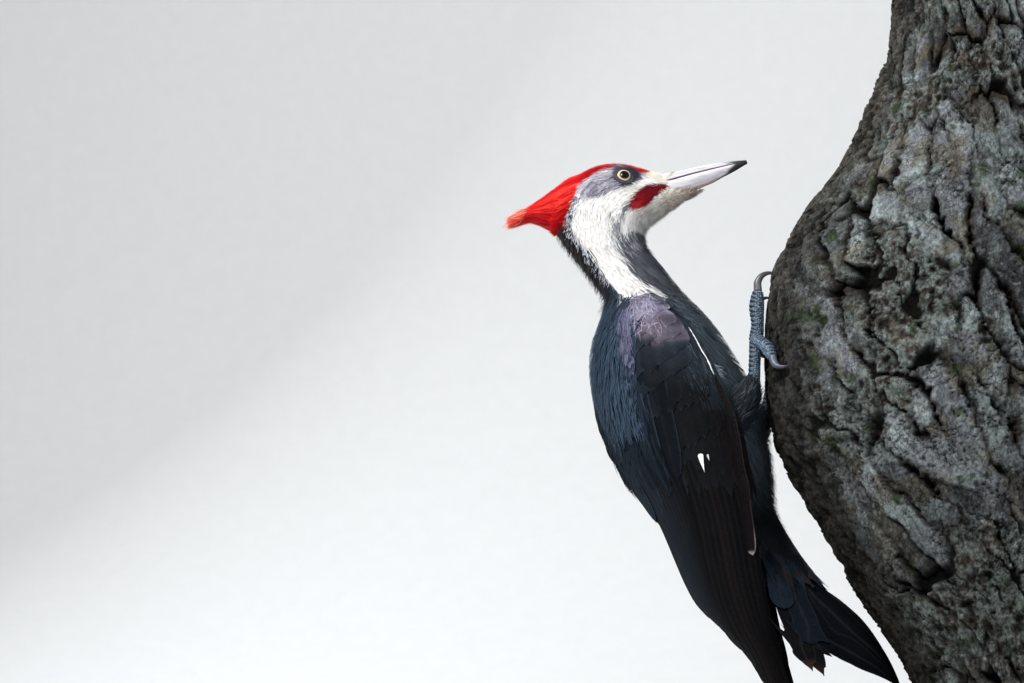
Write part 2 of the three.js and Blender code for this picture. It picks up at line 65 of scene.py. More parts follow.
# ------------------------------------------------------------------ camera
CAM_RIGHT = np.array([0.98480775, 0.17364818, 0.0])
CAM_DIR = np.array([-0.17195825, 0.97522367, 0.1391731])
CAM_UP = np.array([0.02416716, -0.13705875, 0.99026807])
CAM_AT = np.array([-257.5, -87.7, 296.2]) + 68.2 * CAM_DIR - 1900 * CAM_DIR
cam = bpy.data.objects.new("camera", bpy.data.cameras.new("camera"))
bpy.context.scene.collection.objects.link(cam)
cam.data.sensor_width = 36
cam.data.lens = 36 * (1900 / 0.6) / 1024
cam.data.clip_start, cam.data.clip_end = 0.05, 60
m = Matrix.Identity(4)
for k in range(3):
    m[k][0], m[k][1], m[k][2], m[k][3] = CAM_RIGHT[k], CAM_UP[k], -CAM_DIR[k], CAM_AT[k] * 0.001
cam.matrix_world = m
bpy.context.scene.camera = cam


# ------------------------------------------------------------------ the same tables as the solids
BODY_LOOPS = [
    [-178.6, 407.6, -167.6, 392.2, 7.2],
    [-186.2, 410.4, -174.2, 387.2, 10.6],
    [-194.2, 413.2, -180.3, 382.5, 13.8],
    [-202.1, 415.4, -185.8, 378.4, 16.4],
    [-210.8, 416.4, -189.5, 374.8, 18.2],
    [-220.8, 415.0, -190.7, 371.8, 19.4],
    [-230.2, 411.0, -191.0, 368.8, 19.8],
    [-238.4, 404.8, -190.7, 365.8, 19.2],
    [-243.6, 395.2, -189.5, 362.7, 18.3],
    [-245.6, 383.5, -187.0, 359.6, 17.2],
    [-243.2, 370.7, -183.4, 355.3, 16.6],
    [-236.4, 361.6, -178.5, 349.1, 17.0],
    [-228.8, 351.4, -172.4, 341.1, 19.0],
    [-221.6, 341.4, -164.9, 332.6, 23.0],
    [-216.0, 331.6, -156.4, 323.8, 29.0],
    [-218.4, 319.4, -148.4, 313.9, 36.0],
    [-223.6, 304.0, -139.8, 300.9, 41.0],
    [-225.0, 288.4, -130.4, 284.3, 43.0],
    [-222.7, 270.8, -123.6, 267.2, 43.0],
    [-216.6, 253.7, -119.6, 250.1, 42.0],
    [-207.4, 236.6, -116.9, 233.1, 39.0],
    [-195.9, 219.3, -115.4, 216.7, 34.0],
    [-183.2, 203.3, -114.3, 202.1, 28.0],
    [-170.4, 188.4, -108.6, 189.8, 22.0],
    [-155.8, 174.7, -102.0, 177.4, 15.0],
    [-140.3, 165.0, -96.6, 166.6, 9.0],
]
CREST_LOOPS = [
    [-222.0, 414.2, -228.0, 384.0, 14.0],
    [-237.0, 409.2, -244.9, 373.1, 14.2],
    [-245.5, 403.4, -249.7, 375.4, 12.0],
    [-254.1, 397.0, -255.8, 379.1, 9.6],
    [-262.0, 391.7, -261.3, 381.6, 7.2],
    [-269.3, 388.2, -267.1, 380.3, 5.0],
    [-276.4, 384.0, -274.0, 378.4, 2.6],
]
WING_LOOPS = [
    [-177.1, 30.0, 326.5, 37.0, -202.0, 22.0, 327.3],
    [-166.5, 36.0, 315.8, 44.0, -211.9, 18.0, 315.3],
    [-157.3, 40.5, 302.9, 47.5, -216.1, 15.0, 301.3],
    [-149.4, 43.0, 288.4, 49.0, -218.4, 12.0, 286.0],
    [-142.0, 43.5, 273.0, 49.5, -217.7, 9.0, 269.5],
    [-134.9, 42.5, 257.8, 49.0, -213.8, 7.0, 252.7],
    [-131.0, 40.5, 241.6, 47.5, -207.4, 5.5, 236.4],
    [-128.4, 38.0, 226.8, 45.0, -199.6, 5.0, 221.1],
    [-124.6, 35.0, 211.3, 42.0, -189.9, 4.5, 207.0],
    [-121.9, 32.0, 196.0, 38.8, -180.8, 4.5, 191.6],
    [-119.7, 29.3, 180.0, 35.5, -172.8, 5.0, 175.6],
    [-118.0, 27.0, 163.9, 32.0, -164.7, 5.5, 159.6],
    [-115.7, 24.5, 148.5, 28.7, -155.4, 6.5, 144.7],
    [-113.1, 22.0, 133.0, 25.3, -143.6, 8.0, 130.2],
    [-109.3, 19.5, 117.5, 22.0, -131.1, 10.0, 116.9],
    [-104.2, 17.0, 100.8, 18.8, -121.6, 12.0, 100.7],
    [-98.9, 15.0, 84.5, 15.6, -107.9, 13.5, 84.4],
]
KEEL = [
    [-119.0, 203.0],
    [-104.6, 179.5],
    [-90.2, 161.6],
    [-74.6, 149.4],
    [-62.0, 137.3],
    [-51.6, 121.8],
    [-44.6, 107.6],
    [-40.2, 95.0],
    [-36.6, 82.0],
]
LOG_LOOPS = [
    [62, -24, 86, 56],
    [83, -28.5, 88, 60],
    [98, -33.5, 89, 62],
    [110, -38.5, 90, 64],
    [124, -45.5, 91, 66],
    [139, -56.5, 92, 69],
    [156, -67.5, 93, 72],
    [187, -83.0, 96, 77],
    [215, -99.3, 99, 82],
    [239, -111.0, 101, 85],
    [263, -117.0, 103, 87],
    [288, -118.6, 104, 88],
    [312, -118.2, 104, 87],
    [345, -113.0, 101, 85],
    [363, -103.6, 97, 82],
    [385, -90.2, 91, 77],
    [405, -73.5, 85, 71],
    [425, -63.0, 79, 67],
    [444, -55.0, 73, 62],
    [462, -47.5, 69, 58],
    [480, -41.0, 66, 55],
    [498, -38.6, 64, 53],
    [516, -38.0, 63, 52],
]
TAIL_TILT, TAIL_SPREAD, TAIL_BASE = 44, 43, 7
FAN_LENGTH = [150, 148, 140, 128, 108, 72]
THIGH = [[-158, -22, 244, 13], [-148, -25, 251, 15], [-136.5, -26.5, 260, 14], [-128.2, -26.4, 269.5, 9.8], [-124.2, -25.3, 278.6, 4.9]]
TARSUS = [[-127.4, -26.4, 266, 4.2], [-124, -25.2, 277, 3.7], [-123.2, -24.2, 290, 3.5], [-122.6, -23.4, 303, 3.8]]
TOES = {
    "inner": [[-122.6, -22.6, 302, 3.2], [-122.2, -18.4, 309, 2.9], [-121.8, -15.6, 315, 2.7], [-121.4, -14.4, 320, 2.3]],
    "front": [[-122.6, -23.4, 302, 3.9], [-121.4, -23.4, 311, 4], [-121.8, -23.2, 322, 4.3], [-121, -22.6, 332.4, 3.3]],
    "outer": [[-122.2, -24.2, 303, 3.8], [-118.4, -31.4, 300, 3.7], [-114, -38.4, 295.4, 3.7], [-110.8, -43.4, 289.6, 3.1]],
    "hind": [[-122.6, -22, 301, 3], [-121.9, -17.2, 299.6, 2.5], [-121.2, -13.6, 297.5, 2]],
}
CLAWS = {
    "inner": [[-121.4, -14.4, 320, 1.8], [-121.2, -13.8, 324.6, 1.6], [-119.6, -13.2, 328.2, 1.2], [-116.6, -12.8, 329.4, 0.8], [-112.6, -12.6, 328.4, 0.4]],
    "front": [[-121, -22.6, 332.4, 2.6], [-121, -22.4, 337.4, 2.3], [-118.4, -22, 341.4, 1.7], [-114, -21.6, 342.9, 1.05], [-108.4, -21.2, 341.4, 0.4]],
    "outer": [[-110.8, -43.4, 289.6, 2.5], [-109.8, -45.4, 286, 2.3], [-107.2, -47.6, 283.6, 1.7], [-103.4, -49.4, 283, 1.05], [-99, -49.6, 284.4, 0.4]],
    "hind": [[-121.2, -13.6, 297.5, 1.5], [-120.4, -12, 295.4, 1.3], [-118.2, -11, 294.2, 0.95], [-114.6, -10.4, 294.8, 0.4]],
}
BILL_BASE, BILL_TIP, BILL_CAMBER = (-185.76, 398.98), (-128.9, 414.5), 0.9
BILL_LOOPS = [
    [0.0, 7.4, 9.0, 7.0],
    [0.16, 7.2, 9.8, 6.9],
    [0.3, 6.3, 9.7, 6.0],
    [0.45, 5.6, 9.0, 5.0],
    [0.6, 4.7, 7.7, 4.0],
    [0.75, 3.75, 5.5, 3.1],
    [0.88, 2.7, 3.4, 2.3],
    [0.96, 1.85, 1.75, 1.7],
    [1.0, 1.35, 1.0, 1.3],
]
HEAD_ROLL = 12
EYE_LOOP, EYE_ANGLE, EYE_RADIUS, EYE_SUNK = 3.69, 68.75, 5.1, 3.85
LID_LOOP, LID_ANGLE = 3.5, 68.5


# ------------------------------------------------------------------ numpy helpers
def spline(rows, t):
    """Catmull-Rom through rows at whole t, straight on beyond its ends."""
    rows = np.asarray(rows, float)
    n = len(rows) - 1
    t = np.asarray(t, float)
    i = np.clip(np.floor(t).astype(int), 0, n - 1)
    f = np.clip(t - i, 0, 1)[..., None]
    ext = np.vstack([2 * rows[0] - rows[1], rows, 2 * rows[-1] - rows[-2]])
    a, b, c, d = ext[i], ext[i + 1], ext[i + 2], ext[i + 3]
    m0, m1 = (c - a) / 2, (d - b) / 2
    out = (2 * f**3 - 3 * f * f + 1) * b + (f**3 - 2 * f * f + f) * m0 + (3 * f * f - 2 * f**3) * c + (f**3 - f * f) * m1
    over = (t - np.clip(t, 0, n))[..., None]
    return out + np.where(over < 0, over * (rows[1] - rows[0]), over * (rows[-1] - rows[-2]))


def smooth(a, b, x):
    t = np.clip((np.asarray(x, float) - a) / (b - a), 0, 1)
    return t * t * (3 - 2 * t)


def unit(v):
    return v / (np.linalg.norm(v, axis=-1, keepdims=True) + 1e-12)


def mix(a, b, k):
    k = np.asarray(k)[..., None]
    return a * (1 - k) + b * k


def rgb(r, g, b):
    """sRGB 0..255 to linear."""
    v = np.array([r, g, b], float) / 255
    return np.where(v <= 0.04045, v / 12.92, ((v + 0.055) / 1.055) ** 2.4)


def curve(points, x):
    """Height of the broken line through points (x, y) at x."""
    p = np.array(points, float)
    return np.interp(x, p[:, 0], p[:, 1])


# smooth value noise in 3-D, for markings and bark
_perm = np.random.default_rng(5).random((64, 64, 64))


def noise(p, scale=1.0, seed=0):
    p = np.asarray(p, float) / scale + seed * 17.31
    i = np.floor(p).astype(int)
    f = p - i
    f = f * f * (3 - 2 * f)
    i &= 63
    j = (i + 1) & 63
    x0, y0, z0 = i[..., 0], i[..., 1], i[..., 2]
    x1, y1, z1 = j[..., 0], j[..., 1], j[..., 2]
    fx, fy, fz = f[..., 0], f[..., 1], f[..., 2]
    c = lambda x, y, z: _perm[x, y, z]
    a = (c(x0, y0, z0) * (1 - fx) + c(x1, y0, z0) * fx) * (1 - fy) + (c(x0, y1, z0) * (1 - fx) + c(x1, y1, z0) * fx) * fy
    b = (c(x0, y0, z1) * (1 - fx) + c(x1, y0, z1) * fx) * (1 - fy) + (c(x0, y1, z1) * (1 - fx) + c(x1, y1, z1) * fx) * fy
    return a * (1 - fz) + b * fz


def fbm(p, scale, octaves=4, seed=0, gain=0.5):
    out, amp, tot = 0, 1.0, 0.0
    for o in range(octaves):
        out = out + amp * noise(p, scale / 2**o, seed + o)
        tot += amp
        amp *= gain
    return out / tot


# ------------------------------------------------------------------ surfaces
def ring_axes(t):
    r = spline(BODY_LOOPS, t)
    dx, dz, vx, vz, hw = [r[..., k] for k in range(5)]
    c = np.stack([(dx + vx) / 2, 0 * dx, (dz + vz) / 2], -1)
    up = np.stack([(dx - vx) / 2, 0 * dx, (dz - vz) / 2], -1)
    h = np.linalg.norm(up, axis=-1)
    up = up / h[..., None]
    roll = np.radians(HEAD_ROLL) * (1 - smooth(3.5, 11.5, t))
    side = np.array([0, 1.0, 0])
    u = up * np.cos(roll)[..., None] + side * np.sin(roll)[..., None]
    w = side * np.cos(roll)[..., None] - up * np.sin(roll)[..., None]
    return c, u, w, h, hw


def body(t, phi, out=0.0):
    """The outline of head, neck and trunk; phi 0 is the back, + to the left, - to the right."""
    c, u, w, h, hw = ring_axes(t)
    k = 1 + 0.05 * np.sin(2 * phi) ** 2
    return c + u * ((h + out) * np.cos(phi) * k)[..., None] + w * ((hw + out) * np.sin(phi) * k)[..., None]


def crest(s, phi, out=0.0):
    """The crest's outline, s 0 in the skull to 1 at the tip."""
    r = spline(CREST_LOOPS, np.asarray(s) * (len(CREST_LOOPS) - 1))
    ux, uz, lx, lz, hw = [r[..., k] for k in range(5)]
    roll = math.radians(HEAD_ROLL) * 0.85
    up = np.stack([(ux - lx) / 2, 0 * ux, (uz - lz) / 2], -1)
    h = np.linalg.norm(up, axis=-1)
    n = up / h[..., None]
    c = np.stack([(ux + lx) / 2, -2.2 * math.sin(roll) * np.asarray(s), (uz + lz) / 2], -1)
    u = n * math.cos(roll) + np.array([0, math.sin(roll), 0])
    w = np.array([0, math.cos(roll), 0]) - n * math.sin(roll)
    return c + u * ((h + out) * np.cos(phi))[..., None] + w * ((hw + out) * np.sin(phi))[..., None]


def wing(a, b, side):
    r = spline(WING_LOOPS, np.asarray(a) * (len(WING_LOOPS) - 1))
    lx, ly, lz, my, tx, ty, tz = [r[..., k] for k in range(7)]
    mid = 0.36
    ky = (my - (1 - mid) ** 2 * ly - mid**2 * ty) / (2 * mid * (1 - mid))
    kx, kz = (lx + tx) / 2, (lz + tz) / 2
    b = np.asarray(b)
    f = lambda p, k, q: (1 - b) ** 2 * p + 2 * b * (1 - b) * k + b * b * q
    return np.stack([f(lx, kx, tx), side * f(ly, ky, ty), f(lz, kz, tz)], -1)


def lift(surface, sign=1.0):
    """Turns surface(a, b) into surface(a, b, h), h along its outward normal."""

    def at(a, b, h):
        e = 1e-3
        p = surface(a, b)
        da = surface(a + e, b) - surface(a - e, b)
        db = surface(a, b + e) - surface(a, b - e)
        n = unit(np.cross(db, da)) * sign
        return p + n * np.asarray(h)[..., None]

    return at




def bill_ring(x, phi):
    """The horn's outline at distance x mm along the bill's axis from its base, phi as on the body."""
    ax = np.array([BILL_TIP[0] - BILL_BASE[0], 0, BILL_TIP[1] - BILL_BASE[1]])
    length = np.linalg.norm(ax)
    d = ax / length
    n = np.array([-d[2], 0, d[0]])
    roll = math.radians(HEAD_ROLL)
    up = n * math.cos(roll) + np.array([0, math.sin(roll), 0])
    side = np.array([0, math.cos(roll), 0]) - n * math.sin(roll)
    s_ = np.clip(x / length, 0, 1)
    rows = np.array(BILL_LOOPS)
    k = np.stack([np.interp(s_, rows[:, 0], rows[:, j]) for j in (1, 2, 3)], -1)
    base = np.array([BILL_BASE[0], 0, BILL_BASE[1]])
    h = np.where(np.cos(phi) > 0, k[..., 0], k[..., 1]) + 0.45
    return base + d * x[..., None] + n * (BILL_CAMBER * np.sin(math.pi * s_))[..., None] + up * (h * np.cos(phi))[..., None] + side * ((k[..., 2] + 0.45) * np.sin(phi))[..., None]


def face(a, b):
    """The body's outline, carried on forward over the bill's base for a < 0, 10 mm a loop."""
    t = np.asarray(a) * 25 + 0 * np.asarray(b)
    phi = np.asarray(b) * 2 * math.pi + 0 * t
    p = body(np.maximum(t, 0), phi)
    ahead = np.maximum(-t, 0)
    d = unit(np.array([BILL_TIP[0] - BILL_BASE[0], 0, BILL_TIP[1] - BILL_BASE[1]]))
    k = smooth(0, 1.5, ahead)
    on = bill_ring(14.5 + 3.5 * (1 - np.cos(phi)) + 10 * ahead, phi)
    return mix(p + d * (10 * ahead)[..., None], on, k)


body_at = lift(face)
crest_at = lift(crest)
wing_at = {-1: lift(lambda a, b: wing(a, b, -1), 1), 1: lift(lambda a, b: wing(a, b, 1), -1)}

_kt = np.linspace(0, len(KEEL) - 1, 801)
_kp = spline(KEEL, _kt)
_kl = np.concatenate([[0], np.cumsum(np.linalg.norm(np.diff(_kp, axis=0), axis=1))])


def fan(s, q, h=0.0):
    """The tail: s mm along a feather, q -1..1 across the fan, h above its middle on the dorsal side."""
    s, q = np.asarray(s, float), np.asarray(q, float)
    aq = np.abs(q)
    psi = np.radians(TAIL_SPREAD) * aq
    l = s * np.cos(psi)
    t = np.interp(l, _kl, _kt)
    p = spline(KEEL, t)
    dd = spline(KEEL, t + 0.1) - spline(KEEL, t - 0.1)
    dd = dd / np.linalg.norm(dd, axis=-1, keepdims=True)
    over = np.maximum(0, l - _kl[-1])
    c = np.stack([p[..., 0] + dd[..., 0] * over, 0 * l, p[..., 1] + dd[..., 1] * over], -1)
    n = np.stack([dd[..., 1], 0 * l, -dd[..., 0]], -1)
    tilt = np.radians(TAIL_TILT) * smooth(0, 0.35, aq)
    out = s * np.sin(psi) + TAIL_BASE * aq
    x = out * np.sin(tilt) + h * np.cos(tilt)
    y = out * np.cos(tilt) - h * np.sin(tilt)
    p = c + n * x[..., None]
    p[..., 1] = np.where(q < 0, -1, 1) * y
    return p


# ------------------------------------------------------------------ meshes
def mesh(name, verts, quads, tris=None, col=None, uv=None, vane=None, smooth_shade=True, normals=None):
    """A mesh object, metres, from numpy arrays. col, uv and vane are per vertex."""
    verts = np.asarray(verts, float).reshape(-1, 3) * 0.001
    quads = np.asarray(quads, np.int64).reshape(-1, 4)
    tris = np.zeros((0, 3), np.int64) if tris is None else np.asarray(tris, np.int64).reshape(-1, 3)
    me = bpy.data.meshes.new(name)
    me.vertices.add(len(verts))
    me.vertices.foreach_set("co", verts.astype(np.float32).ravel())
    loops = np.concatenate([quads.ravel(), tris.ravel()])
    me.loops.add(len(loops))
    me.loops.foreach_set("vertex_index", loops.astype(np.int32))
    start = np.concatenate([np.arange(len(quads)) * 4, len(quads) * 4 + np.arange(len(tris)) * 3])
    me.polygons.add(len(quads) + len(tris))
    me.polygons.foreach_set("loop_start", start.astype(np.int32))
    me.polygons.foreach_set("use_smooth", np.full(len(quads) + len(tris), smooth_shade))
    me.update(calc_edges=True)
    if uv is not None:
        layer = me.uv_layers.new(name="OFBake")
        layer.data.foreach_set("uv", np.asarray(uv, np.float32).reshape(-1, 2)[loops].ravel())
    if vane is not None:
        layer = me.uv_layers.new(name="vane")
        layer.data.foreach_set("uv", np.asarray(vane, np.float32).reshape(-1, 2)[loops].ravel())
        me.uv_layers.active_index = 0
        me.uv_layers["OFBake"].active_render = True
    if col is not None:
        c = np.asarray(col, np.float32).reshape(len(verts), -1)
        if c.shape[1] == 3:
            c = np.hstack([c, np.ones((len(c), 1), np.float32)])
        at = me.color_attributes.new(name="col", type="FLOAT_COLOR", domain="POINT")
        at.data.foreach_set("color", c.ravel())
    me.validate(clean_customdata=False)
    if normals is not None:
        own = np.empty(len(verts) * 3, np.float32)
        me.vertex_normals.foreach_get("vector", own)
        normals = np.asarray(normals, np.float32)
        normals = normals * np.where((normals * own.reshape(-1, 3)).sum(-1, keepdims=True) < 0, -1, 1)
        me.normals_split_custom_set_from_vertices(normals.tolist())
    ob = bpy.data.objects.new(name, me)
    bpy.context.scene.collection.objects.link(ob)
    return ob


def grid_faces(n, k, m, closed=False):
    """Quads of n grids of k rows and m columns."""
    i, j = np.meshgrid(np.arange(k - 1), np.arange(m if closed else m - 1), indexing="ij")
    j2 = (j + 1) % m
    q = np.stack([i * m + j, i * m + j2, (i + 1) * m + j2, (i + 1) * m + j], -1).reshape(-1, 4)
    return (q[None] + (np.arange(n) * k * m)[:, None, None]).reshape(-1, 4)


def loft(name, rings, col=None, uv=None, vane=None, caps=True):
    """A closed tube from rings (k, m, 3), with end caps as fans round a middle point."""
    k, m, _ = rings.shape
    quads = grid_faces(1, k, m, True)
    verts = rings.reshape(-1, 3)
    tris = []
    add = lambda a: None
    extra = {}
    if caps:
        verts = np.vstack([verts, rings[0].mean(0), rings[-1].mean(0)])
        j = np.arange(m)
        tris = np.vstack([np.stack([np.full(m, k * m), (j + 1) % m, j], -1), np.stack([np.full(m, k * m + 1), (k - 1) * m + j, (k - 1) * m + (j + 1) % m], -1)])

        def add(a):
            if a is None:
                return None
            a = np.asarray(a, float).reshape(k, m, -1)
            return np.vstack([a.reshape(k * m, -1), a[0].mean(0), a[-1].mean(0)])

        col, uv, vane = add(col), add(uv), add(vane)
    return mesh(name, verts, quads, tris if caps else None, col, uv, vane)


def tube(points, sides, steps, from_=0.0, to=1.0, shape=None):
    """Rings along points x, y, z, radius. shape(s, angle) scales the radius. Returns rings and arc lengths."""
    n = len(points) - 1
    s = np.linspace(from_, to, steps)
    p = spline(points, s * n)
    d = unit((spline(points, s * n + 0.04) - spline(points, s * n - 0.04))[:, :3])
    side = np.array([0, 1.0, 0])
    u = unit(np.cross(side, d))
    w = np.cross(d, u)
    a = np.linspace(0, 2 * math.pi, sides, endpoint=False)
    r = p[:, 3][:, None] * np.ones(sides)
    if shape is not None:
        r = r * shape(s[:, None], a[None, :])
    rings = p[:, None, :3] + u[:, None] * (r * np.cos(a))[..., None] + w[:, None] * (r * np.sin(a))[..., None]
    arc = np.concatenate([[0], np.cumsum(np.linalg.norm(np.diff(p[:, :3], axis=0), axis=1))])
    return rings, arc


def body_uv(a, b):
    return np.stack([0.02 + 0.96 * ((np.asarray(b) + 0.5) % 1.0), 0.02 + 0.96 * np.clip(a, 0, 1)], -1)


# ------------------------------------------------------------------ feathers
def feathers(surf, a0, b0, length, width, turn, low, high, rows, cols, form="vane", fray=0.0, camber=0.0, sweep=0.0, kink=0.0, uvmap=None, tipw=0.12, power=1.3, blunt=0.55, waist=0.35, tilt=0.0):
    """Feathers on surf(a, b, h). All per-feather values are arrays of n.
    Each is a grid of rows x cols: rows run root to tip, cols side to side. Returns a dict of arrays."""
    n = len(a0)
    e = 2e-3
    z = np.zeros(n)
    la = np.linalg.norm(surf(a0 + e, b0, z) - surf(a0 - e, b0, z), axis=-1) / (2 * e) + 1e-9
    lb = np.linalg.norm(surf(a0, b0 + e, z) - surf(a0, b0 - e, z), axis=-1) / (2 * e) + 1e-9
    s = np.linspace(0, 1, rows)[None, :, None]
    c = np.linspace(-1, 1, cols)[None, None, :] if cols > 1 else np.zeros((1, 1, 1))
    L, W = np.asarray(length, float).reshape(-1, 1, 1) * np.ones((n, 1, 1)), np.asarray(width, float).reshape(-1, 1, 1) * np.ones((n, 1, 1))
    if form == "vane":  # rounded vane
        prof = np.minimum(1, (s / waist) ** 0.7 * 0.8 + 0.2) * np.sqrt(np.clip(1 - (np.clip(s - blunt, 0, 1) / (1 - blunt)) ** 2.2, 0.0, 1))
        prof = np.maximum(prof, tipw)
        along = s - 0.10 * c * c * smooth(0.25, 1, s)
    elif form == "point":  # pointed vane
        prof = np.minimum(1, (s / waist) ** 0.7 * 0.75 + 0.25) * (1 - np.clip((s - blunt) / (1 - blunt), 0, 1) ** 1.5)
        prof = np.maximum(prof, tipw)
        along = s - 0.05 * c * c * smooth(0.25, 1, s)
    else:  # hair-like strand
        prof = (0.65 + 0.35 * np.sin(np.pi * np.clip(s * 1.1, 0, 1))) * (1 - s**2.2 * (1 - tipw))
        along = s + 0 * c
    if fray:
        along = along + fray * rng.normal(0, 1, (n, 1, cols)) * smooth(0.55, 1, s)
    x = along * L  # mm along
    y = c * W * prof  # mm across
    if np.any(kink):
        y = y + np.asarray(kink).reshape(-1, 1, 1) * (s**2) * L
    th = np.asarray(turn, float).reshape(-1, 1, 1)
    ct, st = np.cos(th), np.sin(th)
    a = a0.reshape(-1, 1, 1) + (x * ct - y * st) / la.reshape(-1, 1, 1)
    b = b0.reshape(-1, 1, 1) + (x * st + y * ct) / lb.reshape(-1, 1, 1)
    lo, hi = np.asarray(low, float).reshape(-1, 1, 1), np.asarray(high, float).reshape(-1, 1, 1)
    h = lo + (hi - lo) * s**power - camber * np.asarray(W) * c * c * (0.4 + 0.6 * s) + tilt * c
    P = surf(a, b, h + 0 * a)
    N = unit(surf(a, b, h + 0 * a + 0.5) - P)
    base = uvmap(a0, b0) if uvmap else body_uv(a0, b0)
    uv = base[:, None, None, :] + 0.003 * np.stack([0.5 * c + 0 * s, s - 0.5 + 0 * c], -1)
    vane = np.stack([y / 10 + 0 * x, (x - 0.9 * np.abs(y)) / 10], -1)
    one = np.ones((n, rows, cols))
    return {"P": P, "N": N, "uv": uv * np.ones((n, 1, 1, 1)), "vane": vane, "s": s * one, "c": c * one, "a": a0.reshape(-1, 1, 1) * one, "b": b0.reshape(-1, 1, 1) * one, "n": n, "rows": rows, "cols": cols, "r": rng.random(n).reshape(-1, 1, 1) * one}


def soft_normals(P, N, keep):
    """Normals of grids P (..., rows, cols, 3): mostly the surface's own N, keep of them the vane's."""
    dr = np.gradient(P, axis=-3)
    dc = np.gradient(P, axis=-2)
    g = unit(np.cross(dr, dc))
    g = g * np.where((g * N).sum(-1, keepdims=True) < 0, -1, 1)
    return unit(N * (1 - keep) + g * keep)


def coat(name, parts, mat, replaces=(), keep=0.3):
    """One piece of the coat from several feathers() results, each with its colour in ["col"]."""
    V, Q, C, U, W, M, off = [], [], [], [], [], [], 0
    for f in parts:
        k = f["n"] * f["rows"] * f["cols"]
        M.append(soft_normals(f["P"], f["N"], keep).reshape(-1, 3))
        V.append(f["P"].reshape(-1, 3))
        Q.append(grid_faces(f["n"], f["rows"], f["cols"]) + off)
        C.append(np.concatenate([f["col"].reshape(-1, 3), f["r"].reshape(-1, 1)], 1))
        U.append(f["uv"].reshape(-1, 2))
        W.append(f["vane"].reshape(-1, 2))
        off += k
    Q = np.vstack(Q)
    ob = mesh(name, np.vstack(V), Q, None, np.vstack(C), np.clip(np.vstack(U), 0.001, 0.999), np.vstack(W), normals=np.vstack(M))
    ob.data.materials.append(mat)
    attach(ob, "root")
    if replaces:
        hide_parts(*replaces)
    print(name, 2 * len(Q), "triangles")
    return ob


def place(ob, mat, replaces=()):
    ob.data.materials.append(mat)
    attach(ob, "root")
    if replaces:
        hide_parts(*replaces)
    return ob


# ------------------------------------------------------------------ materials
def material(name, rough=0.5, spec=0.5, sheen=0.0, sheen_tint=None, coat_w=0.0, coat_rough=0.1, metal=0.0, base=(0.5, 0.5, 0.5), sub=0.0):
    mat = bpy.data.materials.new(name)
    mat.use_nodes = True
    nt = mat.node_tree
    b = nt.nodes["Principled BSDF"]
    b.inputs["Base Color"].default_value = (*base, 1)
    b.inputs["Roughness"].default_value = rough
    b.inputs["Specular IOR Level"].default_value = spec
    b.inputs["Metallic"].default_value = metal
    b.inputs["Sheen Weight"].default_value = sheen
    if sheen_tint is not None:
        b.inputs["Sheen Tint"].default_value = (*sheen_tint, 1)
        b.inputs["Sheen Roughness"].default_value = 0.4
    b.inputs["Coat Weight"].default_value = coat_w
    b.inputs["Coat Roughness"].default_value = coat_rough
    b.inputs["Subsurface Weight"].default_value = sub
    if sub:
        b.inputs["Subsurface Scale"].default_value = 0.002
    return mat, nt, b


def node(nt, kind, **kw):
    n = nt.nodes.new(kind)
    for k, v in kw.items():
        if k.startswith("in_"):
            key = k[3:]
            n.inputs[int(key) if key.isdigit() else key.replace("_", " ")].default_value = v
        else:
            setattr(n, k, v)
    return n


def link(nt, a, b):
    nt.links.new(a, b)


def feather_material(name, rough=0.55, spec=0.35, sheen=0.15, sheen_tint=(0.7, 0.8, 1.0), streak=0.35, barb=26.0, bump=0.25, trans=0.0):
    """Vertex colour times fine barb streaks that run out from each feather's shaft."""
    mat, nt, b = material(name, rough, spec, sheen, sheen_tint)
    col = node(nt, "ShaderNodeVertexColor", layer_name="col")
    uv = node(nt, "ShaderNodeUVMap", uv_map="vane")
    mp = node(nt, "ShaderNodeMapping")
    mp.inputs["Scale"].default_value = (1.6, barb, 1)
    link(nt, uv.outputs["UV"], mp.inputs["Vector"])
    off = node(nt, "ShaderNodeCombineXYZ")
    scl = node(nt, "ShaderNodeMath", operation="MULTIPLY", in_1=37.0)
    link(nt, col.outputs["Alpha"], scl.inputs[0])
    link(nt, scl.outputs[0], off.inputs["X"])
    link(nt, scl.outputs[0], off.inputs["Y"])
    add = node(nt, "ShaderNodeVectorMath", operation="ADD")
    link(nt, mp.outputs["Vector"], add.inputs[0])
    link(nt, off.outputs["Vector"], add.inputs[1])
    nz = node(nt, "ShaderNodeTexNoise", noise_dimensions="2D")
    nz.inputs["Scale"].default_value = 1.0
    nz.inputs["Detail"].default_value = 2.0
    link(nt, add.outputs["Vector"], nz.inputs["Vector"])
    rng_ = node(nt, "ShaderNodeMapRange")
    rng_.inputs["From Min"].default_value = 0.3
    rng_.inputs["From Max"].default_value = 0.7
    rng_.inputs["To Min"].default_value = 1 - streak
    rng_.inputs["To Max"].default_value = 1 + streak * 0.9
    link(nt, nz.outputs["Fac"], rng_.inputs["Value"])
    mul = node(nt, "ShaderNodeVectorMath", operation="SCALE")
    link(nt, col.outputs["Color"], mul.inputs[0])
    link(nt, rng_.outputs["Result"], mul.inputs["Scale"])
    link(nt, mul.outputs["Vector"], b.inputs["Base Color"])
    bp = node(nt, "ShaderNodeBump")
    bp.inputs["Strength"].default_value = bump
    bp.inputs["Distance"].default_value = 0.0003
    link(nt, nz.outputs["Fac"], bp.inputs["Height"])
    link(nt, bp.outputs["Normal"], b.inputs["Normal"])
    return mat


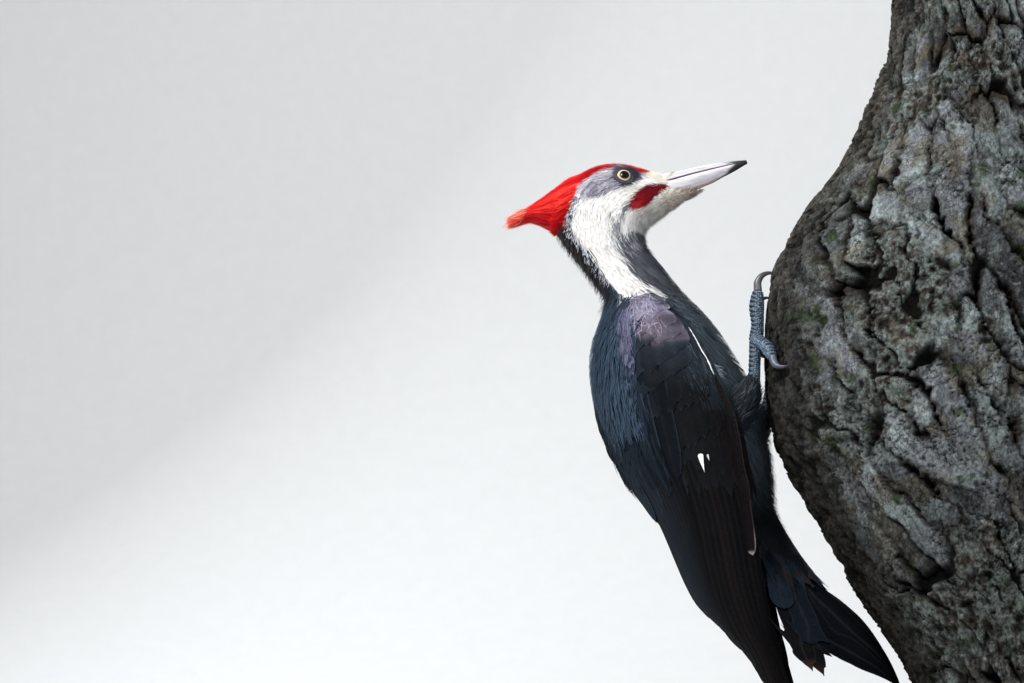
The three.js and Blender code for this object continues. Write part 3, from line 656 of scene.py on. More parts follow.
# ------------------------------------------------------------------ markings
CROWN_EDGE = [(0.3, 5), (0.88, 25), (1.3, 45), (1.86, 57), (2.61, 40), (3.31, 34), (4.03, 43), (4.59, 49), (5.46, 52), (6.33, 50), (6.88, 52), (7.28, 51), (7.89, 48), (8.49, 45), (9.03, 43), (9.4, 25), (9.6, -20)]
WHITE_TOP = [(0, 60), (1.21, 62), (1.65, 65), (1.95, 68), (2.65, 84), (3.4, 92), (4.0, 92), (5.07, 91), (5.83, 87), (6.4, 81), (6.77, 75), (7.1, 68), (7.4, 62), (7.7, 57), (8.2, 58), (8.54, 54), (9.24, 53), (10.05, 57), (11.04, 58), (11.95, 54), (12.85, 53), (13.39, 56), (14.4, 58)]
WHITE_FRONT = [(4.9, 200), (5.2, 180), (5.5, 165), (6.23, 146), (7.3, 137), (7.8, 130), (8.2, 120), (8.4, 113), (9.48, 108), (10.85, 102), (11.9, 99), (12.5, 106), (12.77, 116), (13.34, 121), (14.4, 121)]
WHITE_END = [(40, 14.4), (60, 14.2), (66, 14.0), (82, 13.75), (106, 13.45), (121, 13.3), (180, 13.3)]
MALAR_TOP = [(0.2, 90), (0.35, 90), (0.65, 86), (1.3, 86), (1.97, 91), (2.77, 100), (3.7, 110), (4.47, 117), (4.9, 122)]
MALAR_LOW = [(0.2, 98), (0.4, 101), (0.8, 109), (1.6, 122), (2.42, 132), (3.23, 135), (4.25, 131), (4.72, 126), (4.9, 124)]
STREAK = [(4.4, 120), (6.32, 119), (7.87, 110), (8.5, 116)]


def lay(col, new, m):
    return col * (1 - m[..., None]) + new * m[..., None]


def step(d, w):
    return smooth(-w, w, d)


def eye_axes(side):
    """Centre of an eye and the outward direction of its socket."""
    c, u, w, h, hw = ring_axes(np.array(EYE_LOOP))
    a = math.radians(EYE_ANGLE)
    k = 1 + 0.05 * math.sin(2 * a) ** 2
    p = c + u * h * math.cos(a) * k + w * hw * math.sin(a) * k * side
    n = unit(u / h * math.cos(a) + w / hw * math.sin(a) * side)
    p = p - n * EYE_SUNK
    return p, unit(body(np.array(LID_LOOP), np.array(math.radians(LID_ANGLE) * side)) - p)


EYE_AT = {s: eye_axes(s) for s in (-1, 1)}


def plumage(t, phi, P, jt=0.0, ja=0.0):
    """Colour of head, neck and trunk at loop t and angle phi, P the place. jt and ja ruffle the edges of the markings."""
    side = np.where(phi < 0, -1, 1)
    A = np.degrees(np.abs(phi)) + ja
    t0 = t
    t = t + jt
    n1, n2 = fbm(P, 7, 3, 1), fbm(P, 2.4, 2, 4)
    back = 1 - smooth(66, 92, A)
    col = mix(rgb(78, 81, 90), rgb(84, 96, 105), smooth(12, 15, t))
    col = mix(col, rgb(66, 76, 83), smooth(17, 20, t))
    col = mix(col, rgb(22, 25, 29), smooth(19.5, 22.5, t))
    # dark nape and back, turning bluish over the mantle: the blue is a painted sheen
    col = lay(col, mix(rgb(34, 39, 45), rgb(58, 74, 92), smooth(12.6, 14.2, t)), back)
    col = col * (0.78 + 0.5 * n1)[..., None]
    patch = smooth(0.54, 0.66, fbm(P, 5, 2, 9)) * (1 - smooth(9.5, 12, t)) * (A > 100)
    col = lay(col, rgb(112, 114, 126), 0.55 * patch)
    vein = smooth(0.52, 0.72, noise(np.stack([t * 1.5, A / 2.2, 0 * t + 7], -1), 1.0, 19)) * (1 - smooth(10.5, 15.5, t)) * (A > 95)
    col = lay(col, rgb(128, 130, 142), 0.45 * vein)
    # white of the face, throat and neck stripe
    white = rgb(252, 251, 250) * (0.94 + 0.10 * n2)[..., None]
    white = lay(white, rgb(206, 204, 196), 0.5 * smooth(112, 150, A) * (1 - smooth(2.5, 5.0, t)))
    white = lay(white, rgb(166, 162, 158), 0.6 * smooth(0.52, 0.68, noise(np.stack([t * 3.2, A / 3.0, 0 * t + 4], -1), 1.0, 17)) * smooth(118, 150, A) * (t < 7.5))
    white = lay(white, rgb(150, 134, 116), 0.65 * smooth(0.42, 0.62, fbm(P, 3.2, 2, 7)) * smooth(120, 150, A) * (1 - smooth(1.2, 3.2, t)))
    white = lay(white, rgb(226, 226, 208), 0.5 * smooth(0.5, 0.66, fbm(P, 6, 2, 12)) * (t < 7))
    top, front = curve(WHITE_TOP, t), curve(WHITE_FRONT, t)
    isw = step(A - top, 2.0) * step(front - A, 2.5) * step(curve(WHITE_END, A) - t + 0.3 * (n2 - 0.5), 0.06)
    col = lay(col, white, isw)
    # mask between crown and white
    edge = curve(CROWN_EDGE, t)
    C = np.where((side < 0)[..., None], EYE_AT[-1][0], EYE_AT[1][0])
    de = np.linalg.norm((P - C - np.array([1.6, 0, 1.2])) * np.array([0.92, 0.8, 1.0]), axis=-1)
    streak = smooth(0.35, 0.65, noise(np.stack([t * 1.6, A / 3.2, 0 * t], -1), 1.0, 3))
    lilac = mix(rgb(190, 185, 199), rgb(130, 125, 143), streak)
    lilac = lay(lilac, rgb(70, 71, 86), 0.75 * smooth(5.0, 6.6, t) * smooth(58, 80, A))
    lilac = lay(lilac, rgb(214, 214, 224), 0.8 * smooth(0.66, 0.78, noise(np.stack([t * 1.3, A / 2.4, 0 * t + 9], -1), 1.0, 13)) * smooth(4.0, 4.8, t))
    mask = mix(lilac, rgb(56, 57, 67), 1 - smooth(7.2, 9.8, de + 2.0 * (n2 - 0.5)))
    mask = mix(mask, rgb(48, 50, 58), smooth(6.9, 7.6, t))
    mask = lay(mask, rgb(232, 234, 238), 0.85 * np.exp(-(((t - 4.5) / 0.32) ** 2) - ((A - 56) / 6.5) ** 2))
    pale = step(A - edge, 1.5) * step(edge + 6 - A, 2.0) * smooth(4.9, 5.6, t) * (1 - smooth(6.8, 7.4, t))
    mask = lay(mask, rgb(222, 224, 232), 0.75 * pale)
    ism = step(A - edge, 1.5) * step(top - A, 2.0) * step(t - 1.8, 0.15) * (1 - smooth(8.9, 9.4, t))
    lore = step(A - edge, 1.5) * step(top - A, 2.0) * (1 - step(t - 1.8, 0.15))
    col = lay(col, rgb(242, 238, 218), lore)
    col = lay(col, mask, ism)
    tongue = smooth(0.62, 0.7, noise(np.stack([t * 2.4, A / 4, 0 * t + 5], -1), 1.0, 6)) * step(t - 6.2, 0.3) * (1 - smooth(8.8, 9.3, t)) * step(A - edge, 1.5) * step(top + 3 - A, 3)
    col = lay(col, rgb(228, 230, 236), 0.8 * tongue)
    # forehead and nasal tufts
    nasal = step(1.25 - t, 0.15) * step(68 - A, 4)
    col = lay(col, mix(rgb(246, 241, 222), rgb(236, 228, 212), n2), nasal)
    # crown
    red = mix(rgb(214, 14, 22), rgb(170, 5, 16), smooth(0.35, 0.7, n1))
    red = lay(red, rgb(232, 40, 34), smooth(6.0, 9.0, t) * 0.5)
    red = lay(red, rgb(150, 6, 16), 0.6 * step(A - edge + 9, 3) * (1 - smooth(3.6, 4.6, t)))
    crown = step(edge - A, 1.5) * step(t - 0.85, 0.12) * step(9.55 - t, 0.15)
    col = lay(col, red, crown)
    # malar stripe and the grey streak behind it
    malar = step(A - curve(MALAR_TOP, t), 1.5) * step(curve(MALAR_LOW, t) - A, 1.5) * step(t - 0.35, 0.2) * step(4.8 - t, 0.2)
    mc = mix(rgb(118, 16, 28), rgb(184, 28, 40), smooth(2.0, 4.0, t) * smooth(0.25, 0.6, n2))
    mc = lay(mc, rgb(58, 12, 20), 0.8 * step(curve(MALAR_TOP, t) + 3 - A, 2.5))
    col = lay(col, mc, malar)
    line = curve(STREAK, t)
    gs = (1 - smooth(2.5, 8.0, np.abs(A - line) - 4.0 * smooth(5.8, 7.5, t))) * step(t - 4.5, 0.2) * step(8.6 - t, 0.2)
    gs = gs * smooth(0.34, 0.6, noise(np.stack([t * 2.2, A / 3.0, 0 * t + 2], -1), 1.0, 8))
    col = lay(col, rgb(88, 90, 108), 0.85 * gs)
    return np.clip(col, 0, 1)


def scatter(surf, n, a0, a1, b0, b1, weight=None, cells=160):
    """n random places spread evenly over a surface's area, times weight(a, b)."""
    ga, gb = np.linspace(a0, a1, cells + 1), np.linspace(b0, b1, cells + 1)
    A, B = np.meshgrid((ga[1:] + ga[:-1]) / 2, (gb[1:] + gb[:-1]) / 2, indexing="ij")
    da, db = (a1 - a0) / cells, (b1 - b0) / cells
    z = np.zeros_like(A)
    pa = surf(A + da / 2, B, z) - surf(A - da / 2, B, z)
    pb = surf(A, B + db / 2, z) - surf(A, B - db / 2, z)
    area = np.linalg.norm(np.cross(pa, pb), axis=-1)
    w = area * (weight(A, B) if weight else 1)
    w = w.ravel() / w.sum()
    i = rng.choice(len(w), n, p=w)
    return A.ravel()[i] + R(-0.5, 0.5, n) * da, B.ravel()[i] + R(-0.5, 0.5, n) * db


def depth(t):
    """How far the skin lies under the coat's outline."""
    return np.interp(t, [0, 3, 8, 11, 14, 25], [1.0, 1.7, 1.9, 2.8, 4.2, 4.2])


OPEN_A, OPEN_B = 3.8, 4.6  # half the opening of the lids, along the head and round it


def near_eye(P):
    """How far out from an eye's middle P lies, 1 on the edge of the lids."""
    d = np.full(P.shape[:-1], 1e9)
    for s, (c, n) in EYE_AT.items():
        q = P - c
        fore = unit(body(np.array(LID_LOOP - 0.2), np.array(math.radians(LID_ANGLE) * s)) - body(np.array(LID_LOOP + 0.2), np.array(math.radians(LID_ANGLE) * s)))
        a = (q * fore).sum(-1)
        b = (q * np.cross(n, fore)).sum(-1)
        d = np.minimum(d, np.where((q * n).sum(-1) > 0, np.hypot(a / OPEN_A, b / OPEN_B), 1e9))
    return d


# the wings' middle surfaces as points, to leave out feathers that they hide
_wa, _wb = np.meshgrid(np.linspace(0.03, 0.97, 95), np.linspace(0.1, 0.88, 34), indexing="ij")
_wp = np.concatenate([wing(_wa, _wb, s).reshape(-1, 3) for s in (-1, 1)])
_kd = KDTree(len(_wp))
for _i, _p in enumerate(_wp):
    _kd.insert(_p, _i)
_kd.balance()


def under_wing(P, reach=9.0):
    return np.array([_kd.find(p)[2] < reach for p in P])


# ------------------------------------------------------------------ skin
def tube_surface(points):
    """The thigh's outline as surface(a, b): a 0..1 along, b 0..1 round."""

    def at(a, b):
        n = len(points) - 1
        p = spline(points, np.asarray(a) * n)
        d = unit((spline(points, np.asarray(a) * n + 0.04) - spline(points, np.asarray(a) * n - 0.04))[..., :3])
        u = unit(np.cross(np.array([0, 1.0, 0]), d))
        w = np.cross(d, u)
        q = np.asarray(b)[..., None] * 2 * math.pi
        return p[..., :3] + (u * np.cos(q) + w * np.sin(q)) * p[..., 3:4]

    return at


def far_foot(p):
    """A point of the right leg carried to the left one: mirrored, further round the wood and lower."""
    a, u, v = 0.105 * float(smooth(262, 296, p[2])), (p[0] + 7) / 111, -p[1] / 87
    return [111 * (u * math.cos(a) + v * math.sin(a)) - 7, 87 * (v * math.cos(a) - u * math.sin(a)), p[2] - 12, p[3]]


thigh_surface = {-1: tube_surface(THIGH), 1: tube_surface([far_foot(p) for p in THIGH])}


def flesh():
    """One skin for head, neck, trunk and thighs, under the coat."""
    parts = []
    t = np.linspace(0.15, 24.7, 150)[:, None] * np.ones(96)
    f = np.linspace(-math.pi, math.pi, 96, endpoint=False)[None] * np.ones((150, 1))
    parts.append(body(t, f, -depth(t)))
    for s in (-1, 1):
        a = np.linspace(0.0, 1.0, 24)[:, None] * np.ones(32)
        b = np.linspace(0, 1, 32, endpoint=False)[None] * np.ones((24, 1))
        p = thigh_surface[s](a, b)
        c = p.mean(1, keepdims=True)
        parts.append(c + (p - c) * 0.8)
    obs = []
    for r in parts:
        ob = loft("part", r)
        obs.append(ob)
    for ob in bpy.context.scene.objects:
        ob.select_set(ob in obs)
    bpy.context.view_layer.objects.active = obs[0]
    bpy.ops.object.join()
    ob = obs[0]
    mod = ob.modifiers.new("skin", "REMESH")
    mod.mode, mod.voxel_size, mod.use_smooth_shade = "VOXEL", 0.0014, True
    deps = bpy.context.evaluated_depsgraph_get()
    me = bpy.data.meshes.new_from_object(ob.evaluated_get(deps))
    n = len(me.vertices)
    V = np.empty(n * 3, np.float32)
    me.vertices.foreach_get("co", V)
    V = V.reshape(-1, 3).astype(float) * 1000
    k = len(me.polygons)
    L = np.empty(len(me.loops), np.int32)
    me.loops.foreach_get("vertex_index", L)
    Q = L.reshape(-1, 4) if len(me.loops) == 4 * k else None
    bpy.data.objects.remove(ob)
    return V, Q


def nearest_tp(V):
    """Loop t and angle phi of the nearest place of the body's outline."""
    t, f = np.meshgrid(np.linspace(0, 25, 260), np.linspace(-math.pi, math.pi, 120, endpoint=False), indexing="ij")
    P = body(t, f, -depth(t)).reshape(-1, 3)
    kd = KDTree(len(P))
    for i, p in enumerate(P):
        kd.insert(p, i)
    kd.balance()
    i = np.array([kd.find(v)[1] for v in V])
    return t.ravel()[i], f.ravel()[i]


V, Q = flesh()
T, F = nearest_tp(V)
V = V + (fbm(V, 2.6, 2, 21) - 0.5)[:, None] * 0.35
skin_col = plumage(T, F, body(T, F)) * (0.55 + 0.3 * fbm(V, 1.8, 2, 3))[:, None]
skin_uv = body_uv(T / 25, F / (2 * math.pi))


def lids():
    """Bare ring round each eye: an inner rim on the ball, folds, and an outer edge under the coat."""
    out = []
    for s in (-1, 1):
        c, n = EYE_AT[s]
        a0, b0 = LID_LOOP / 25, s * LID_ANGLE / 360
        e = 2e-3
        pa = (body_at(a0 + e, b0, 0.0) - body_at(a0 - e, b0, 0.0)) / (2 * e)
        pb = (body_at(a0, b0 + e, 0.0) - body_at(a0, b0 - e, 0.0)) / (2 * e)
        la, lb = np.linalg.norm(pa), np.linalg.norm(pb)
        k, m = 15, 96
        al = np.linspace(0, 2 * math.pi, m, endpoint=False)
        r0 = 1 / np.sqrt((np.cos(al) / OPEN_A) ** 2 + (np.sin(al) / OPEN_B) ** 2)
        prof = [(-0.4, -0.35, 1), (-0.05, 0.04, 1), (0.06, 0.2, 1), (0.22, 0.26, 1), (0.38, 0.2, 1), (0.5, 0.1, 1), (0.64, 0.18, 1), (0.84, 0.24, 0.8), (1.02, 0.12, 0.6), (1.2, 0.18, 0.4), (1.45, 0.16, 0.2), (1.7, 0.0, 0), (2.0, -0.4, 0), (2.5, -1.2, 0), (3.2, -2.4, 0)]
        rings = []
        for d, h, w in prof:
            rr = r0 + d
            q = body_at(a0 + rr * np.cos(al) / la, b0 + rr * np.sin(al) / lb, 0 * al - 0.5 + h)
            ball = c + (EYE_RADIUS + h) * unit(body_at(a0 + rr * np.cos(al) / la, b0 + rr * np.sin(al) / lb, 0 * al - 0.5) - c)
            p = q * (1 - w) + ball * w
            crease = 0.09 * (np.sin(al * 26 + 3 * math.sin(d * 5) + s) + 0.6 * np.sin(al * 41 + 7 * d)) * smooth(0.3, 0.7, d) * (1 - smooth(1.9, 2.4, d))
            rings.append(p + n * crease[:, None])
        rings = np.array(rings)
        d = np.array([p[0] for p in prof])[:, None] * np.ones(m)
        col = mix(rgb(17, 16, 19), rgb(66, 66, 76), smooth(0.35, 1.0, d))
        col = mix(col, rgb(50, 51, 60), smooth(1.4, 2.4, d)) * (0.6 + 0.8 * noise(rings, 0.45, 2))[..., None]
        out.append((rings, col, body_uv(a0 + 0 * d, b0 + 0 * d) + 0.004 * np.stack([np.cos(al) * (1 + d), np.sin(al) * (1 + d)], -1)))
    return out


verts, quads, cols, uvs = [V], [Q], [skin_col], [skin_uv]
off = len(V)
for rings, c, u in lids():
    k, m, _ = rings.shape
    verts.append(rings.reshape(-1, 3))
    quads.append(grid_faces(1, k, m, True) + off)
    cols.append(c.reshape(-1, 3))
    uvs.append(u.reshape(-1, 2))
    off += k * m

mat, nt, b = material("skin", 0.6, 0.3, sub=0.0)
vc = node(nt, "ShaderNodeVertexColor", layer_name="col")
nz = node(nt, "ShaderNodeTexNoise", in_Scale=900.0, in_Detail=3.0)
tc = node(nt, "ShaderNodeTexCoord")
link(nt, tc.outputs["Object"], nz.inputs["Vector"])
mr = node(nt, "ShaderNodeMapRange")
mr.inputs["To Min"].default_value, mr.inputs["To Max"].default_value = 0.75, 1.25
link(nt, nz.outputs["Fac"], mr.inputs["Value"])
sc = node(nt, "ShaderNodeVectorMath", operation="SCALE")
link(nt, vc.outputs["Color"], sc.inputs[0])
link(nt, mr.outputs["Result"], sc.inputs["Scale"])
link(nt, sc.outputs["Vector"], b.inputs["Base Color"])
bp = node(nt, "ShaderNodeBump", in_Strength=0.4)
bp.inputs["Distance"].default_value = 0.0002
link(nt, nz.outputs["Fac"], bp.inputs["Height"])
link(nt, bp.outputs["Normal"], b.inputs["Normal"])
skin = mesh("skin", np.vstack(verts), np.vstack(quads), None, np.vstack(cols), np.vstack(uvs))
place(skin, mat, ["head", "neck", "body", "thigh_right", "thigh_left"])
print("skin", 2 * len(skin.data.polygons))


# ------------------------------------------------------------------ eyes
mat, nt, b = material("eye", 0.07, 0.3, coat_w=0.2, coat_rough=0.02)
vc = node(nt, "ShaderNodeVertexColor", layer_name="col")
nz = node(nt, "ShaderNodeTexNoise", in_Scale=1400.0, in_Detail=4.0)
tc = node(nt, "ShaderNodeTexCoord")
link(nt, tc.outputs["Object"], nz.inputs["Vector"])
mr = node(nt, "ShaderNodeMapRange")
mr.inputs["To Min"].default_value, mr.inputs["To Max"].default_value = 0.86, 1.12
link(nt, nz.outputs["Fac"], mr.inputs["Value"])
sc = node(nt, "ShaderNodeVectorMath", operation="SCALE")
link(nt, vc.outputs["Color"], sc.inputs[0])
link(nt, mr.outputs["Result"], sc.inputs["Scale"])
link(nt, sc.outputs["Vector"], b.inputs["Base Color"])
EYE_MAT = mat
for s, name in ((-1, "right"), (1, "left")):
    c, n = EYE_AT[s]
    gaze = unit(n - 0.2 * ring_axes(np.array(EYE_LOOP))[1])
    u = unit(np.cross(gaze, np.array([0, 0, 1.0])))
    w = np.cross(u, gaze)
    k, m = 84, 64
    th = np.linspace(0.012, math.pi - 0.01, k)[:, None] * np.ones(m)
    al = np.linspace(0, 2 * math.pi, m, endpoint=False)[None] * np.ones((k, 1))
    bulge = 1 + 0.03 * (1 - smooth(0.3, 0.75, th))
    p = c + (EYE_RADIUS * bulge * np.cos(th))[..., None] * gaze + (EYE_RADIUS * bulge * np.sin(th))[..., None] * (u * np.cos(al)[..., None] + w * np.sin(al)[..., None])
    rho = EYE_RADIUS * np.sin(th)
    fibre = noise(np.stack([np.cos(al) * 9, np.sin(al) * 9, rho * 0.7], -1), 1.0, 4)
    iris = mix(rgb(206, 188, 148), rgb(172, 148, 108), fibre)
    iris = mix(iris, rgb(224, 210, 178), smooth(3.0, 3.4, rho) * 0.6)
    iris = mix(rgb(52, 40, 33), iris, smooth(2.68, 2.95, rho))
    col = mix(rgb(5, 5, 6), iris, smooth(2.1, 2.4, rho))
    col = mix(col, rgb(30, 26, 27), smooth(4.1, 4.5, rho))
    col = np.where((th > math.pi / 2)[..., None], rgb(40, 36, 36), col)
    ob = loft("eyeball_" + name, p, col)
    place(ob, EYE_MAT, ["eye_" + name])


# ------------------------------------------------------------------ bill
def bill_half(part):
    k, m = 90, 48
    s = np.linspace(0, 1, k)
    rows = np.array(BILL_LOOPS)
    loop = np.interp(s, rows[:, 0], np.arange(len(rows)))
    sp = spline(rows[:, 1:], loop)
    ax = np.array([BILL_TIP[0] - BILL_BASE[0], 0, BILL_TIP[1] - BILL_BASE[1]])
    length = np.linalg.norm(ax)
    d = ax / length
    n = np.array([-d[2], 0, d[0]])
    roll = math.radians(HEAD_ROLL)
    up = n * math.cos(roll) + np.array([0, math.sin(roll), 0])
    side = np.array([0, math.cos(roll), 0]) - n * math.sin(roll)
    # section: 0..half over the horn, the rest back along the parting face
    q = np.linspace(0, 1, m, endpoint=False)
    over = q < 0.72
    th = np.where(over, q / 0.72 * math.pi, 0)
    x = np.where(over, np.cos(th), -1 + 2 * (q - 0.72) / 0.28)
    y = np.where(over, np.sin(th), 0)
    x, y = np.broadcast_to(x, (k, m)).copy(), np.broadcast_to(y, (k, m)).copy()
    ss = s[:, None] * np.ones(m)
    ax_ = np.abs(x)
    ridge = 1 - 0.16 * ax_ * (1 - ax_) * 4
    y = y * ridge
    if part > 0:
        y = y + 0.05 * np.exp(-((x / 0.13) ** 2)) * (y > 0.01)
        groove = np.exp(-(((ax_ - 0.66) / 0.07) ** 2)) * (1 - smooth(0.5, 0.8, ss))
        y = y * (1 - 0.06 * groove)
        x = x * (1 - 0.035 * np.exp(-(((ax_ - 0.8) / 0.06) ** 2)) * (1 - smooth(0.6, 0.9, ss)))
    else:
        y = y - 0.03 * np.exp(-((x / 0.2) ** 2)) * (y > 0.01) * smooth(0.2, 0.5, ss)
    tip = smooth(0.93, 1.0, ss)
    h = (sp[:, 0] if part > 0 else sp[:, 1])[:, None]
    gape = 0.10 * part
    base = np.array([BILL_BASE[0], 0, BILL_BASE[1]])
    P = base + d * (ss * length)[..., None] + n * (BILL_CAMBER * np.sin(math.pi * ss))[..., None]
    wob = 0.05 * (fbm(np.stack([ss * 9, x * 2, 0 * x + part], -1), 1.0, 3, 5) - 0.5)
    P = P + up * (part * y * h * (1 + wob) + gape)[..., None] + side * (x * sp[:, 2][:, None])[..., None]
    up_ = y * (1 if part > 0 else -1)
    grain = fbm(np.stack([ss * 4, x * 6, y * 6 + part], -1), 1.0, 3, 9)
    blot = fbm(np.stack([ss * 26, x * 5, y * 4 + part], -1), 1.0, 3, 19)
    if part > 0:
        col = mix(rgb(222, 216, 222), rgb(182, 176, 188), grain)
        # painted highlight: paler along the top of the upper mandible
        col = lay(col, rgb(238, 236, 240), 0.8 * smooth(0.6, 0.9, y) * (1 - smooth(0.6, 0.8, ss)))
        col = lay(col, rgb(118, 112, 126), 0.6 * smooth(0.36, 0.42, y) * (1 - smooth(0.46, 0.56, y)) * smooth(0.1, 0.25, ss))
        col = lay(col, rgb(150, 146, 160), 0.5 * smooth(0.66, 0.70, y) * (1 - smooth(0.72, 0.8, y)) * smooth(0.3, 0.5, ss))
        dark = smooth(0.76, 0.88, ss + 0.05 * (y - 0.4) + 0.16 * (blot - 0.5))
        col = lay(col, mix(rgb(26, 31, 37), rgb(86, 92, 98), smooth(0.55, 0.7, blot)), dark)
        # painted shade: dark along the parting edge and inner face of the upper mandible
        col = lay(col, rgb(52, 44, 50), 1 - smooth(0.02, 0.14, y))
    else:
        col = mix(rgb(232, 227, 228), rgb(196, 193, 200), grain)
        col = lay(col, rgb(150, 153, 172), 0.55 * smooth(0.25, 0.55, ss) * (1 - smooth(0.72, 0.84, ss)) * smooth(0.2, 0.4, y) * (1 - smooth(0.6, 0.8, y)))
        # brownish tinge and painted shade along the underside of the lower mandible, darker towards the tip
        brown_and_shade = smooth(0.76, 0.88, y + 0.08 * (grain - 0.5)) * smooth(0.05, 0.2, ss)
        col = lay(col, mix(rgb(158, 122, 106), rgb(70, 52, 50), smooth(0.5, 0.75, ss)), 0.85 * brown_and_shade)
        dark = smooth(0.76, 0.87, ss + 0.16 * (y - 0.45) + 0.05 * (blot - 0.5))
        col = lay(col, rgb(20, 24, 29), dark)
        # painted shade: dark along the parting edge and inner face of the lower mandible
        col = lay(col, rgb(60, 54, 62), 1 - smooth(0.0, 0.06, y))
    return P, col


mat, nt, b = material("horn", 0.36, 0.5, coat_w=0.25, coat_rough=0.25, sub=0.0)
vc = node(nt, "ShaderNodeVertexColor", layer_name="col")
tc = node(nt, "ShaderNodeTexCoord")
mp = node(nt, "ShaderNodeMapping")
mp.inputs["Rotation"].default_value = (0, 0.247, 0)
mp.inputs["Scale"].default_value = (90, 900, 900)
nz = node(nt, "ShaderNodeTexNoise", in_Scale=1.0, in_Detail=4.0)
link(nt, tc.outputs["Object"], mp.inputs["Vector"])
link(nt, mp.outputs["Vector"], nz.inputs["Vector"])
mr = node(nt, "ShaderNodeMapRange")
mr.inputs["From Min"].default_value, mr.inputs["From Max"].default_value = 0.3, 0.7
mr.inputs["To Min"].default_value, mr.inputs["To Max"].default_value = 0.82, 1.14
link(nt, nz.outputs["Fac"], mr.inputs["Value"])
sc = node(nt, "ShaderNodeVectorMath", operation="SCALE")
link(nt, vc.outputs["Color"], sc.inputs[0])
link(nt, mr.outputs["Result"], sc.inputs["Scale"])
link(nt, sc.outputs["Vector"], b.inputs["Base Color"])
mr2 = node(nt, "ShaderNodeMapRange")
mr2.inputs["To Min"].default_value, mr2.inputs["To Max"].default_value = 0.28, 0.52
link(nt, nz.outputs["Fac"], mr2.inputs["Value"])
link(nt, mr2.outputs["Result"], b.inputs["Roughness"])
bp = node(nt, "ShaderNodeBump", in_Strength=0.25)
bp.inputs["Distance"].default_value = 0.0002
link(nt, nz.outputs["Fac"], bp.inputs["Height"])
link(nt, bp.outputs["Normal"], b.inputs["Normal"])
HORN = mat
for part, name in ((1, "upper"), (-1, "lower")):
    P, col = bill_half(part)
    place(loft("mandible_" + name, P, col), HORN, ["bill_" + name])


# ------------------------------------------------------------------ feet
def cells_2d(u, v, period, seed):
    """Nearest and second nearest jittered points on a strip that closes on itself in u, and the cell's number."""
    r = np.random.default_rng(seed)
    ju, jv, cid = r.random((64, 256)), r.random((64, 256)), r.random((64, 256))
    iu, iv = np.floor(u).astype(int), np.floor(v).astype(int)
    best, second, who = np.full(u.shape, 9.0), np.full(u.shape, 9.0), np.zeros(u.shape)
    for du in (-1, 0, 1):
        for dv in (-1, 0, 1):
            cu, cv = iu + du, iv + dv
            k, l = cu % period % 64, cv & 255
            d = np.hypot(cu + 0.15 + 0.7 * ju[k, l] - u, cv + 0.15 + 0.7 * jv[k, l] - v)
            near = d < best
            second = np.where(near, best, np.minimum(second, d))
            who = np.where(near, cid[k, l], who)
            best = np.where(near, d, best)
    return best, second, who


def scaled_limb(points, kind, seed):
    """A scaled limb: uneven plates across the front, small beads of scale round the rest."""
    steps, sides = 120, 44
    length = sum(math.dist(a[:3], b[:3]) for a, b in zip(points, points[1:]))
    radius = float(np.mean([p[3] for p in points]))
    around, along = max(8, round(2 * math.pi * radius / 1.45)), length / 1.25
    plates = max(5, round(length / 2.6))
    made = {}

    def shape(s, a):
        a = a + 0 * s
        s = s + 0 * a
        q = np.stack([s * length, np.cos(a) * 3, np.sin(a) * 3], -1)
        wob = noise(q, 1.6, seed) - 0.5
        b1, b2, who = cells_2d(a / (2 * math.pi) * around + 0.5 * wob, s * along + 0.5 * wob, around, 50 + seed)
        bead = smooth(0.04, 0.38, b2 - b1)
        f = s * plates + 0.35 * wob + 0.12 * np.sin(3 * a)
        plate = smooth(0.02, 0.34, 0.5 - np.abs(f - np.floor(f) - 0.5))
        front = smooth(0.35, 0.75, 0.5 + 0.5 * np.cos(a - math.pi) + 0.15 * wob)
        tone = bead * (1 - front) + plate * (0.6 + 0.4 * bead) * front
        made["tone"], made["who"], made["front"] = tone, who, front
        knuckle = 1 + 0.06 * np.sin(s * math.pi * 3 + 0.8) * (kind != "tarsus")
        end = np.sqrt(np.clip(1 - np.clip((s - 0.94) / 0.08, 0, 1) ** 2, 0.05, 1))
        return (0.90 + 0.13 * tone) * knuckle * end

    rings, arc = tube(points, sides, steps, shape=shape)
    s = np.linspace(0, 1, steps)[:, None] * np.ones(sides)
    a = np.linspace(0, 2 * math.pi, sides, endpoint=False)[None] * np.ones((steps, 1))
    pale = mix(rgb(96, 114, 136), rgb(168, 184, 200), 0.65 * made["who"] + 0.35 * noise(rings, 1.2, seed + 3))
    pale = mix(pale, rgb(70, 84, 104), 0.55 * made["front"])
    col = mix(rgb(14, 18, 26), pale, smooth(0.30, 0.95, made["tone"]))
    uv = np.stack([0.03 + 0.9 * s, 0.03 + 0.9 * a / (2 * math.pi)], -1)
    return rings, col, uv


def join(name, lofts, mat, replaces):
    V, Qs, T, C, off = [], [], [], [], 0
    for rings, col in lofts:
        k, m, _ = rings.shape
        V.append(np.vstack([rings.reshape(-1, 3), rings[0].mean(0), rings[-1].mean(0)]))
        C.append(np.vstack([col.reshape(-1, 3), col[0].mean(0), col[-1].mean(0)]))
        Qs.append(grid_faces(1, k, m, True) + off)
        j = np.arange(m)
        T.append(np.vstack([np.stack([np.full(m, k * m), (j + 1) % m, j], -1), np.stack([np.full(m, k * m + 1), (k - 1) * m + j, (k - 1) * m + (j + 1) % m], -1)]) + off)
        off += k * m + 2
    return place(mesh(name, np.vstack(V), np.vstack(Qs), np.vstack(T), np.vstack(C)), mat, replaces)


